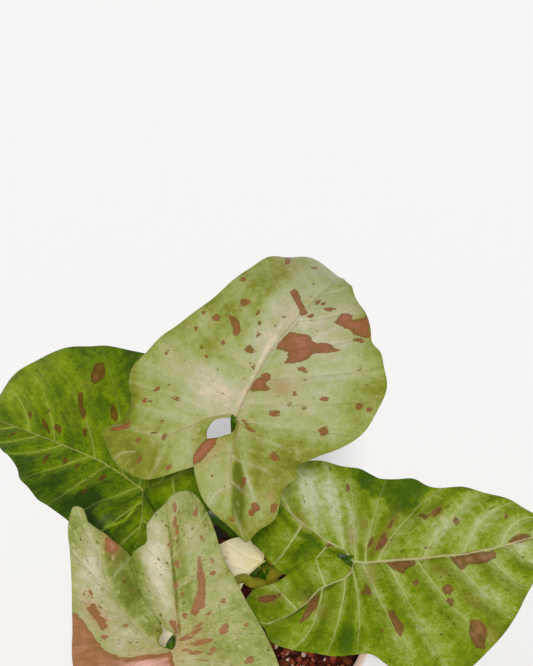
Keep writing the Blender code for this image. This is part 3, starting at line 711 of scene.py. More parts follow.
def inside_distance(a, b, outline):
    """Signed distance to a closed outline: the least distance to its sides, positive on the inside.

    A point is inside where a line from it along a crosses an odd number of sides.
    """
    corner = np.array(outline, float)
    following = np.roll(corner, -1, axis=0)
    side = following - corner
    away_a, away_b = a[..., None] - corner[:, 0], b[..., None] - corner[:, 1]
    share = np.clip((away_a * side[:, 0] + away_b * side[:, 1]) / np.sum(side**2, axis=1), 0, 1)
    away = np.hypot(away_a - share * side[:, 0], away_b - share * side[:, 1]).min(axis=-1)
    crosses = (corner[:, 1] > b[..., None]) != (following[:, 1] > b[..., None])
    rise = np.where(side[:, 1] == 0, 1e-9, side[:, 1])
    where = corner[:, 0] + (b[..., None] - corner[:, 1]) * side[:, 0] / rise
    return np.where(np.sum(crosses & (a[..., None] < where), axis=-1) % 2 == 1, away, -away)


def oval(a, b, place_a, place_b, long, wide, angle):
    """How many half sizes a point is from the middle of an oval of half length long and half width wide."""
    turn = math.radians(angle)
    x = (a - place_a) * math.cos(turn) + (b - place_b) * math.sin(turn)
    y = (b - place_b) * math.cos(turn) - (a - place_a) * math.sin(turn)
    return np.hypot(x / long, y / wide)


def swell(a, b, swells):
    """Sum of soft oval swells, amount exp(-q^2), where q is the point's distance in half sizes."""
    return sum((amount * np.exp(-(oval(a, b, *shape) ** 2)) for *shape, amount in swells), np.zeros_like(a))


def half_blade(leaf, side):
    """One side of a blade: its flat grid, lift, half thickness, rib ridge, marks and its rows' reach.

    A row runs straight from a foot on the lobe's rib or the midrib to a point of the margin. Rows go along
    the notch side of the rib, round the lobe's end, back along the rib, and along the midrib to the tip.
    """
    outline = leaf[side]
    corners = [(0, 0, 0, 0)] + [(a, b, 0, foot) for a, b, foot in outline["margin"]]
    edge = smooth_line(corners, np.linspace(0, 1, MARGIN_STEPS))
    length = np.concatenate([[0], np.cumsum(np.linalg.norm(np.diff(edge[:, :2], axis=0), axis=1))])
    foot = np.clip(edge[:, 3], -1, 1)
    turning = int(np.argmin(foot))
    steps = np.where(np.arange(MARGIN_STEPS) <= turning, -foot, 2 + foot)
    path = np.maximum.accumulate(np.clip(steps, 0, 3))
    lobe_start, lobe_end = np.interp([1 - 1e-6, 1 + 1e-3], path, length)
    wanted = np.concatenate(
        [
            np.interp(np.linspace(0, 1 - 1e-6, RIB_ROWS + 1), path, length),
            np.linspace(lobe_start, lobe_end, LOBE_ROWS + 2)[1:-1],
            np.interp(np.linspace(1 + 1e-3, 2, RIB_ROWS + 1), path, length),
            np.interp(np.linspace(2, 3, MIDRIB_ROWS + 1)[1:], path, length),
        ]
    )
    wanted[0] = 0
    rib_share = np.linspace(0, 1, RIB_ROWS + 1)
    midrib_share = np.linspace(0, 1, MIDRIB_ROWS + 1)[1:]
    rib_feet = along(outline["rib"], rib_share)
    midrib_feet = along(leaf["midrib"], midrib_share)
    lobe_feet = np.repeat(rib_feet[-1:], LOBE_ROWS, axis=0)
    feet = np.concatenate([rib_feet, lobe_feet, rib_feet[::-1], midrib_feet])
    reached = np.concatenate([rib_share, np.ones(LOBE_ROWS), rib_share[::-1], midrib_share])[:, None]
    ends = np.stack([np.interp(wanted, length, edge[:, i]) for i in range(2)], axis=1)
    wide = np.linalg.norm(ends - feet, axis=1)[:, None]
    part = np.linspace(0, 1, ACROSS + 1)
    part = np.concatenate([part[:-1], [1 - 0.35 / ACROSS, 1]])[None]
    a = feet[:, :1] + (ends - feet)[:, :1] * part
    b = feet[:, 1:] + (ends - feet)[:, 1:] * part

    # Side veins are counted along the margin, with one more before the first and after the last. Each
    # starts at a foot on a rib and bends forward to its margin point.
    starts, stops = [], []
    for start, end_a, end_b in outline["veins"]:
        nearest = int(np.argmin(np.hypot(edge[:, 0] - end_a, edge[:, 1] - end_b)))
        on_path = -start if nearest < turning and start <= 0 else 2 + start
        starts.append(float(np.interp(on_path, path, length)))
        stops.append(float(length[nearest]))
    spread = np.arange(len(starts)) * 0.05
    total = length[-1]
    starts = np.concatenate([[-14.0], np.maximum.accumulate(starts) + spread, [total + 8.0]])
    stops = np.concatenate([[-8.0], np.maximum.accumulate(stops) + spread, [total + 16.0]])
    counted = np.arange(len(starts))
    lines = [np.interp(wanted, starts + (stops - starts) * out, counted) for out in part[0] ** 1.25]
    vein = np.stack(lines, axis=1)
    (a_s, a_t), (b_s, b_t), (v_s, v_t) = np.gradient(a), np.gradient(b), np.gradient(vein)
    area = a_s * b_t - a_t * b_s
    area = np.where(np.abs(area) < 1e-3, 1e-3, area)
    slope = np.hypot((v_s * b_t - v_t * b_s) / area, (v_t * a_s - v_s * a_t) / area)
    gap = np.clip(1 / np.maximum(slope, 1e-3), 0.2, 14)

    # Distance to the nearest rib, and the half width of the row's own rib
    skeleton = np.concatenate([rib_feet[::-1], along(leaf["midrib"], np.linspace(0, 1, 60))[1:]])
    rib_away = np.full(a.shape, 1e9)
    for start, end in zip(skeleton[:-1], skeleton[1:]):
        run = end - start
        on = np.clip(((a - start[0]) * run[0] + (b - start[1]) * run[1]) / (run @ run), 0, 1)
        rib_away = np.minimum(rib_away, np.hypot(a - start[0] - on * run[0], b - start[1] - on * run[1]))
    on_lobe = np.arange(len(reached))[:, None] <= 2 * RIB_ROWS + LOBE_ROWS + 1
    rib_half = leaf["rib_half"] * np.where(on_lobe, 0.75, 1.0) * (1 - leaf["rib_taper"] * reached)

    # Lift: the margin's wave and ruffle, a lobe laid over the other, puffed tissue, the rib's groove and
    # the leaf's own swells
    near_edge = np.minimum(1, wide / 8)
    wave = leaf["wave"] * np.sin(wanted / total * 2 * math.pi * leaf["waves"] + leaf["wave_start"])[:, None]
    ruffle = RUFFLE * np.sin(wanted / 4.3 + 1.7 * np.sin(wanted / 11.0))[:, None]
    lift = near_edge * (wave * part**2 + ruffle * part**5)
    lift = lift + outline.get("lift", 0) * np.clip(-a / 14, 0, 1)
    on_path = np.interp(wanted, length, path)[:, None]
    lift = lift + outline.get("over", 0) * part**2 * np.clip(-a / 5, 0, 1) * np.clip(1.25 - on_path, 0, 1)
    from_vein = np.abs(vein - np.round(vein))
    puffed = np.sin(math.pi * from_vein) ** 2 * np.clip(gap / 8, 0, 1.2)
    puffed = puffed * np.clip(4 * part * (1 - part), 0, 1) ** 0.5
    groove = RIB_GROOVE * np.exp(-((rib_away / GROOVE_HALF) ** 2)) * (1 - 0.6 * reached)
    lift = lift + leaf["puff"] * puffed - groove
    lift = lift + swell(a, b, leaf.get("swells", []))
    ridge = np.exp(-((rib_away / np.maximum(rib_half, 0.35) / 1.5) ** 2)) * (1 - 0.75 * reached) * 0.75
    lift, ridge = (np.where(wide > 1e-6, values, values[:, :1]) for values in (lift, ridge))
    thin = BLADE_THICKNESS / 2 * (1 - EDGE_THINNING * part**8 * np.minimum(1, wide))

    # Marks for the material: depth in a splash, tone of the tissue with its painted shade and highlight,
    # and the ways to ribs, margin and veins
    splash = np.full(a.shape, -3.0)
    for patch in leaf.get("splashes", []):
        depth = inside_distance(a, b, patch)
        splash = np.maximum(splash, np.where(depth > 0, 1.8 * depth, depth))
    for spot in leaf["spots"]:
        splash = np.maximum(splash, (1 - oval(a, b, *spot)) * min(spot[2:4]))
    edge_away = (1 - part) * wide
    tone_and_shade = swell(a, b, leaf["tones"]) + leaf["edge_tone"] * np.exp(-edge_away / leaf["edge_width"])
    for patch, soft, amount in leaf.get("fields", []):
        tone_and_shade = tone_and_shade + amount * np.clip(0.5 + inside_distance(a, b, patch) / (2 * soft), 0, 1)
    seed = leaf["turn"] / 7 + (3.3 if side == "left" else 0.0) + 0 * a
    marks = {
        "leaf_place": [a, b, seed],
        "leaf_flow": [vein * 9, part * wide, seed],
        "leaf_ribs": [rib_away / rib_half, edge_away, gap / 9 / (0.3 * (1 - 0.5 * part))],
        "leaf_marks": [np.clip(splash, -3, 3), tone_and_shade, swell(a, b, leaf["flushes"])],
    }
    marks = {key: np.stack(values, axis=-1) for key, values in marks.items()}
    return a, b, lift, thin, ridge, marks, ends - feet


def blade(name, leaf, tissue, look, replaced):
    """A blade: each side's upper and lower sheet, half a thickness either way, joined at the margin."""
    patches = []
    for side in ("left", "right"):
        a, b, lift, thin, ridge, marks, reach = half_blade(leaf, side)
        upper = blade_point(leaf, a, b, lift + thin)
        lower = blade_point(leaf, a, b, lift - thin - ridge)
        out = reach / np.maximum(np.linalg.norm(reach, axis=1, keepdims=True), 1e-6)
        past = np.stack([a[:, -1], b[:, -1]], axis=1) + out * MARGIN_ROUND
        rim = blade_point(leaf, past[:, 0], past[:, 1], lift[:, -1])
        edge_points = np.stack([upper[:, -1], rim, lower[:, -1]], axis=1)
        edge_marks = {key: np.repeat(values[:, -1:], 3, axis=1) for key, values in marks.items()}
        turned = side == "right"
        patches += [
            {"points": upper, "marks": marks, "kind": 0, "turned": turned},
            {"points": lower, "marks": marks, "kind": 1, "turned": not turned},
            {"points": edge_points, "marks": edge_marks, "kind": 0, "turned": turned},
        ]
    skins = [leaf_finish(tissue + " skin", look), leaf_finish(tissue + " underside", look, True)]
    return piece_of(name, patches, skins, replaced)


def leaf_finish(name, look, under=False):
    """A blade's material.

    The tissue runs from deep green to milk by clouds 12 mm wide, blotches of 2.5 mm, streaks of 1.8 mm
    along the side veins and a grain of 0.5 mm. Over it lie the veins with soft halos, faded blushes, small
    speckles, the splashes with edges frayed along the veins, a thin veil of blush on them, and the ribs.
    The underside is half way to a pale matt green, and its veins stand out instead of being sunk.
    """
    made, shader = finish(name, {"IOR": 1.42, "Specular IOR Level": look["gloss"]})
    place, flow, ribs, marks = (
        add(made, "Attribute", out="Vector", attribute_name=key)
        for key in ("leaf_place", "leaf_flow", "leaf_ribs", "leaf_marks")
    )
    flows = add(made, "SeparateXYZ", [flow], None).outputs
    ribs = add(made, "SeparateXYZ", [ribs], None).outputs
    splash, tone_and_shade, flush = add(made, "SeparateXYZ", [marks], None).outputs
    brushed = add(made, "VectorMath", [flow, (1, 0.22, 1)], operation="MULTIPLY")
    dotted = add(made, "VectorMath", [flow, (1, 0.55, 1)], operation="MULTIPLY")
    noises = [
        add(made, "TexNoise", {"Vector": source, "Scale": scale, "Detail": detail, "Roughness": 0.62})
        for source, scale, detail in (
            (place, 0.08, 3.0), (place, 0.4, 4.0), (brushed, 0.55, 4.0), (place, 1.9, 2.0),
        )
    ]
    cloud, blotch, brush, grain = noises

    # Tissue, from deep green to milk, darkened by its tones, which hold painted shade, and by painted shade
    # in the gaps between the side veins
    milk = look["milk"] - sum(look["mottle"]) / 2
    for amount, noise in zip(look["mottle"], noises):
        milk = add(made, "Math", [noise, amount, milk], operation="MULTIPLY_ADD")
    from_vein = add(made, "Math", [flows[0], 4.5], operation="PINGPONG")
    smooth = {"interpolation_type": "SMOOTHSTEP"}
    # Painted shade: darker towards the middle of each gap between side veins, deepening the look of the
    # relief
    vein_gap_shade = add(made, "MapRange", [from_vein, 0.6, 4.0, 0.0, look["vein_gap_shade"]], **smooth)
    for less in (tone_and_shade, vein_gap_shade):
        milk = add(made, "Math", [milk, less], operation="SUBTRACT")
    colour = add(made, "ValToRGB", [milk], stops=look["tones"])

    # Shares of the layers over it
    away = add(made, "Math", [from_vein, ribs[2]], operation="MULTIPLY")
    line = add(made, "MapRange", [away, 0.4, 1.5, 1.0, 0.0], **smooth)
    halo = add(made, "MapRange", [away, 0.5, 5.5, 1.0, 0.0], **smooth)
    broken = add(made, "MapRange", [brush, 0.36, 0.62, 0.15, 1.0], **smooth)
    fading = add(made, "MapRange", [flows[1], 3.0, 34.0, 1.0, 0.25], **smooth)
    shown = add(made, "Math", [broken, fading], operation="MULTIPLY")
    rib = add(made, "MapRange", [ribs[0], 0.6, 1.5, 1.0, 0.0], **smooth)
    worn = add(made, "MapRange", [grain, 0.36, 0.56, 1 - look["worn"], 1.0])
    edge = splash
    for amount, noise in ((4.3, brush), (1.8, blotch), (1.2, grain)):
        edge = add(made, "Math", [noise, amount, edge], operation="MULTIPLY_ADD")
    patch = add(made, "MapRange", [edge, 3.5, 3.84, 0.0, look["cover"]], **smooth)
    shade = add(made, "Math", [splash, 0.11, -0.8], operation="MULTIPLY_ADD")
    for amount, noise in ((1.0, blotch), (1.1, brush)):
        shade = add(made, "Math", [noise, amount, shade], operation="MULTIPLY_ADD")
    blush = add(made, "MapRange", [brush, 0.3, 0.68, 0.45, 1.1])
    blush = add(made, "Math", [flush, blush], operation="MULTIPLY", use_clamp=True)

    # Speckles: ovals of random size in random cells, denser where the clouds are thin
    speckles = []
    for scale, chance, size, share, code, other in look["speckles"]:
        cell = add(made, "TexVoronoi", {"Vector": dotted, "Scale": scale}, None).outputs
        own = add(made, "SeparateXYZ", [cell["Color"]], None).outputs
        radius = add(made, "Math", [own[1], size, size * 0.35], operation="MULTIPLY_ADD")
        within = add(made, "Math", [cell["Distance"], radius], operation="SUBTRACT")
        within = add(made, "MapRange", [within, -0.04, 0.04, share, 0.0], **smooth)
        rare = add(made, "Math", [cloud, 0.9, chance - 0.45], operation="MULTIPLY_ADD")
        chosen = add(made, "Math", [own[0], rare], operation="GREATER_THAN")
        speckle = add(made, "Mix", {0: own[2], 6: code, 7: other}, 2, data_type="RGBA")
        speckles.append((within, chosen, 1.0, speckle))

    # The layers, from the lowest to the highest
    vein_code, line_share, halo_share = look["veins"]
    rib_code, rib_share = look["rib"]
    splash_stops = list(zip((0.22, 0.5, 0.8), look["splash"]))
    deep = add(made, "MapRange", [splash, 2.3, 3.0])
    layers = []
    for first, second, share, code in (
        (halo, shown, halo_share, vein_code),
        (line, fading, line_share, vein_code),
        (blush, 1.0, 1.0, look["blush"]),
        *speckles,
        (patch, 1.0, 1.0, add(made, "ValToRGB", [shade], stops=splash_stops)),
        (blush, deep, look.get("veil_share", 0.0), look.get("veil", "ffffff")),
        (rib, worn, rib_share, rib_code),
    ):
        both = add(made, "Math", [first, second], operation="MULTIPLY")
        layers.append((add(made, "Math", [both, share], operation="MULTIPLY"), code))

    if under:
        layers.append((0.5, look["under"]))
    for share, code in layers:
        colour = add(made, "Mix", {0: share, 6: colour, 7: code}, 2, data_type="RGBA")

    # Relief: veins, ribs and a leathery grain
    height = add(made, "Math", [grain, 0.18], operation="MULTIPLY")
    height = add(made, "Math", [brush, 0.5, height], operation="MULTIPLY_ADD")
    for amount, bump in ((-0.35, line), (-0.3, halo), (-0.5, rib)):
        height = add(made, "Math", [bump, amount, height], operation="MULTIPLY_ADD")
    rough = look["rough"] + (0.16 if under else 0)
    fill(made, shader, {
        "Base Color": colour,
        "Roughness": add(made, "MapRange", [grain, 0.3, 0.7, rough - 0.05, rough + 0.07]),
        "Normal": add(made, "Bump", {
            "Strength": 0.65, "Distance": 0.0006,
            "Height": add(made, "Math", [height, -1.0 if under else 1.0], operation="MULTIPLY"),
        }),
    })
    return made


# Angles are in degrees and lengths in millimetres. A place on a blade is a, along the midrib from the
# petiole, and b, to its left. A margin point also has its row's foot: -1 at the end of the lobe's rib, 0 at
# the petiole and 1 at the tip. A vein has its foot and its end on the margin, and a splash is an outline.
# Spots, tones, flushes and swells are ovals: a place, two half sizes, a turn and, but for spots, an amount.
# A field is an outline, half the width of its soft edge, and an amount. Tones and fields darken the tissue,
# and lighten it for an amount below 0; some are the leaf's own mottling, some are painted shade in folds
# and creases, and one is a painted highlight on a crest.
leaf_top = {
    "at": (4.29, -3.63, 205.0), "turn": 60, "pitch": 30, "roll": -4, "size": 1.0,
    "tip_droop": 78, "droop_power": 2.2, "lobe_droop": 14, "fold_left": 5, "fold_right": 5, "curl": 8,
    "wave": 0.5, "waves": 11, "wave_start": 0.4, "puff": 0.2, "rib_half": 0.4, "rib_taper": 0.9,
    "midrib": [
        (0, 0), (12, 0.2), (25, -0.3), (38, -1.8), (50, -3.3), (62, -3.4), (74, 0), (85, 5), (95, 10.5),
    ],
    "left": {
        "rib": [(0, 0), (-0.6, 3.2), (-3.6, 8.3), (-8, 12.5), (-15, 19.5), (-24, 28)],
        "veins": [
            (-0.45, -24, 10), (-0.75, -30.5, 19), (-1, -29, 34), (-0.7, -18.5, 40.5), (-0.4, -10, 38),
            (-0.15, -3, 42), (0, 5, 44), (0.06, 16, 39.5), (0.16, 29, 32.5), (0.28, 44, 27.5),
            (0.42, 60, 25), (0.56, 74, 21.5), (0.7, 86, 15),
        ],
        "margin": [
            (-1.3, 2.4, -0.07), (-2.6, 4.9, -0.13), (-4.2, 6.6, -0.19), (-7, 7.4, -0.27), (-9.4, 7, -0.33),
            (-11, 5.8, -0.38), (-12.6, 3.8, -0.44), (-16, 2.6, -0.52), (-20, 5, -0.62), (-24, 10, -0.73),
            (-29, 16, -0.84), (-31.5, 22, -0.94), (-31, 30, -1), (-27.5, 37, -1), (-22, 43, -0.9),
            (-18.5, 40.5, -0.75), (-15, 37.5, -0.6), (-8, 38.5, -0.4), (-2, 42.5, -0.2), (4, 44, 0),
            (11, 41, 0.08), (18, 38.5, 0.16), (25, 34.5, 0.24), (32, 31, 0.32), (40, 28.5, 0.4),
            (48, 26.7, 0.5), (56, 25.8, 0.58), (64, 24.5, 0.66), (72, 22, 0.75), (80, 18, 0.84),
            (88, 14, 0.92), (95, 10.5, 1),
        ],
    },
    "right": {
        "lift": 1.6, "over": 0.6,
        "rib": [(0, 0), (-2, -2.6), (-5.5, -3.6), (-12, -5), (-20, -8.5), (-30, -15)],
        "veins": [
            (-0.4, -20, 5.5), (-0.75, -32, -7), (-1, -37.5, -23.5), (-0.7, -27, -29.5), (-0.45, -15, -30),
            (-0.2, -4, -32.5), (-0.05, 8, -43.5), (0.05, 21, -45.5), (0.14, 33, -40.5), (0.26, 44, -29.5),
            (0.4, 55, -19.5), (0.55, 68, -8), (0.7, 82, 1),
        ],
        "margin": [
            (-2.4, -1.7, -0.08), (-5.4, -2.3, -0.18), (-7.3, -0.8, -0.25), (-9.5, 2.4, -0.32),
            (-11, 5, -0.37), (-14, 6, -0.45), (-18, 6.3, -0.56), (-20.5, 5.2, -0.63), (-25, 2.2, -0.75),
            (-29, -1.5, -0.86), (-32.5, -8, -0.94), (-35, -16, -1), (-37.5, -23.5, -1), (-33, -26, -0.9),
            (-27, -29.5, -0.75), (-20, -28.6, -0.6), (-16, -29, -0.52), (-12.5, -31, -0.43),
            (-8.4, -29, -0.33), (-3.5, -33.4, -0.18), (2, -39.6, -0.02), (9, -44, 0.06), (15, -45.5, 0.12),
            (22, -45.5, 0.2), (28, -44, 0.26), (33, -40.5, 0.32), (38, -36.5, 0.36), (41, -31.5, 0.4),
            (46, -28.2, 0.45), (51, -23.6, 0.5), (56, -18, 0.56), (61, -13, 0.62), (67, -8.5, 0.7),
            (75, -2, 0.79), (85, 4.8, 0.9), (95, 10.5, 1),
        ],
    },
    "splashes": [
        [(26.4, -1.2), (31.5, -2), (34.4, -3.3), (35.2, -8), (35.6, -10.7), (32.7, -12.5), (33.5, -14.4),
         (34.4, -18), (33.5, -23.8), (31, -19), (29.8, -15.2), (27.4, -15.2), (25.3, -12.8), (22.2, -7.4),
         (24.9, -7.8), (27, -6.6)],
        [(43.4, -14.8), (44.2, -16.4), (47.9, -16), (48.1, -19), (46.7, -21), (49.2, -24.3), (51.5, -23.4),
         (50, -26.3), (45.5, -28.4), (42.4, -29.8), (40.9, -25), (42.8, -21.4), (43, -17.3)],
        [(42, -3), (44.5, -1.6), (47.5, 2.5), (50, 5.3), (52.8, 6), (52, 3.8), (49.5, 1.6), (46.6, -2),
         (43.6, -4.6)],
        [(9.4, 0.2), (14.6, -0.8), (17.8, -3.6), (17, -6), (14.4, -4.6), (12.8, -7.4), (11.4, -6.6),
         (10, -3)],
        [(25.7, 13.1), (25.7, 14.4), (29.8, 17.7), (32.3, 19.9), (32.3, 16.4), (30.3, 14), (28.2, 12.7)],
        [(63, 16.5), (68, 19.4), (75, 23.6), (74, 21.5), (69, 17.6), (65, 16)],
        [(-21, 40.4), (-19.5, 37), (-17, 34.2), (-15.4, 34.7), (-18, 37.7), (-19.6, 40.6)],
        [(-9, 2.6), (-11.4, 5.4), (-14, 6.6), (-18, 6.8), (-21, 5.4), (-19, 3.2), (-15.4, 2.6), (-12, 1.4)],
    ],
    "spots": [
        (22.9, 7, 1.4, 2.3, 0), (29.8, 23.7, 1.4, 1.6, 0), (39.3, 17.5, 1.1, 1.6, 0),
        (36.8, 11.3, 1.6, 0.9, 0), (29.3, 6.6, 0.7, 1.1, 0), (18.3, 2, 1.1, 0.7, 0),
        (15.1, 19.5, 0.8, 0.8, 0), (22, 16.8, 0.7, 0.7, 0), (23.7, 28.7, 0.8, 0.8, 0),
        (30, 29, 0.7, 0.7, 0), (47.9, 23.8, 0.8, 0.8, 0), (1.9, 27.8, 0.8, 0.8, 0),
        (-1, 30.8, 0.9, 0.8, 0), (-2, 22.6, 0.7, 1.8, 0), (-13.9, 23.8, 0.8, 0.8, 0),
        (-11.4, 23.6, 0.7, 0.7, 0), (-15.8, 20.5, 1.1, 0.9, 0), (-6.7, 33.3, 0.8, 0.8, 0),
        (-26, 25.3, 1.9, 0.9, 0), (-19.9, 28.7, 0.8, 0.8, 0), (50.4, -5, 1.6, 0.9, 0),
        (50.2, -7.4, 1, 0.8, 0), (48.3, -10.7, 0.7, 1.6, 0), (22.7, -15.2, 1.1, 1.6, 0),
        (5.4, -31.7, 1.6, 1.8, 0), (17.1, -39.5, 1.6, 1.6, 0), (17.5, -43.2, 0.8, 1, 0),
        (15.3, -27.1, 0.7, 1.1, 0), (10.5, -21.8, 0.8, 0.8, 0), (5.2, -13, 0.75, 1.8, 15),
        (10, -16.6, 0.7, 0.8, 0), (14, -16.4, 0.7, 0.7, 0), (-8.8, -20.4, 1.1, 1.6, 0),
        (-20.3, -14, 1.6, 1.1, 0), (-26.9, -21.8, 2.5, 1.4, 0), (-24.4, -27.7, 1.3, 0.7, 0),
        (-32.8, -14.8, 1.1, 1.4, 0), (-2, -6, 0.75, 2.6, -22), (39.7, -26.3, 0.8, 2.5, 0),
        (43, -6.6, 0.8, 1, 0), (70.5, 8.2, 1.6, 0.7, 0), (-18.5, 6.5, 1.4, 0.9, 60),
        (-24.5, 14, 0.9, 0.7, 0), (59, 2, 1, 0.6, 20), (12, 34, 0.7, 0.7, 0), (-22, -3, 0.8, 0.7, 0),
        (30, -33, 0.8, 0.6, 0), (63, -6, 0.8, 0.7, 0),
    ],
    # The dark band at (-23, -13) is painted shade in the fold of the right lobe, and the pale line at (-20,
    # -8.4) is a painted highlight on its crest.
    "tones": [
        (45, 18, 26, 5, -8, 0.2), (22, 21, 7, 4, 0, 0.16), (-10, -14, 14, 3.5, 28, 0.2),
        (-2, -22, 5, 10, 0, 0.12), (60, 8, 14, 12, 0, 0.06), (-22, 30, 9, 12, 0, 0.14),
        (4, 8, 7, 9, 20, -0.3), (8, 18, 6, 14, 0, -0.2), (8, 38, 7, 6, 0, -0.06), (34, 3, 18, 7, 0, -0.17),
        (30, -22, 16, 16, 0, -0.1), (-22, 9, 6, 6, 0, -0.14), (-24, -4, 10, 3, 10, -0.16),
        (-24, -24, 8, 4, 0, -0.1), (45, -12, 16, 12, 0, -0.12), (16, -26, 14, 12, 0, -0.04),
        (20, -38, 24, 6, -6, 0.14), (-8, 27, 14, 12, 30, 0.08), (76, 10, 22, 14, 20, -0.2),
        (-15, 38, 10, 5, 20, 0.25), (-10, -24, 14, 5, -20, 0.14), (-23, -13, 12, 2.4, 30, 0.8),
        (-14, -3, 10, 2.2, 10, 0.1), (-20, -8.4, 12, 1.1, 26, -0.3), (-19, -15.6, 10, 0.6, 45, -0.4),
        (-16, -20, 12, 7, 40, 0.16), (36, -6, 14, 14, 0, -0.1), (18, 1.1, 20, 0.8, 0, -0.32),
        (41, 12.5, 17, 2, 3, 0.22), (-24, 28, 6, 9, 0, 0.2),
    ],
    "flushes": [
        (14.8, -10.5, 3.4, 5.5, 0, 0.8), (10, 1.5, 3, 2, 0, 0.4), (4, 7, 3, 6, 10, 0.2),
        (9, 25, 3, 9, 0, 0.15), (40, 1.5, 10, 3, 0, 0.25), (1, 1, 4, 3, 0, 0.25),
        (-20.7, -25.1, 1.6, 1.6, 0, 0.6), (66, 16, 10, 5, 20, 0.3), (-14.5, 1, 6, 2.2, -20, 0.6),
        (46, -22, 8, 8, 0, 0.15),
    ],
    "fields": [([(6, -1.4), (18, -1.2), (30, -2.4), (42, -3.6), (30, -4.2), (16, -2.6)], 0.8, 0.16)],
    "edge_tone": 0.26, "edge_width": 5,
    "swells": [(79, 14, 9, 8, 0, 2.8), (-22, -12.6, 13, 2.6, 30, -1.5), (-19, -15.6, 10, 1.4, 45, 0.4)],
}
# The tones run from deep green to milk, and mottle is how far each of the four noises stirs them. Veins
# have a colour, the share of the line and that of its halo. Speckles have cells to a millimetre, how rare
# and how large they are, their share and two colours.
top_look = {
    "tones": [
        (0.0, "5c640a"), (0.22, "7a8024"), (0.42, "929853"), (0.62, "a2a573"), (0.8, "aeae8c"),
        (1.0, "ccbea6"),
    ],
    "milk": 0.56, "mottle": (0.6, 0.45, 0.4, 0.35), "vein_gap_shade": 0.05, "gloss": 0.22,
    "veins": ("c4be98", 0.12, 0.24), "rib": ("a98c66", 0.6), "worn": 0.6, "blush": "a5805a",
    "splash": ("70501a", "8a5030", "9c5c48"), "cover": 0.93, "under": "a9b07e", "rough": 0.42,
    "speckles": [
        (0.35, 0.84, 0.16, 0.85, "6a4a14", "5c5a1a"), (0.8, 0.84, 0.2, 0.65, "72521e", "5c5f16"),
        (0.5, 0.6, 0.25, 0.2, "c4bc98", "848c42"),
    ],
}
blade("top_leaf", leaf_top, "milky green leaf", top_look, "blade_top")

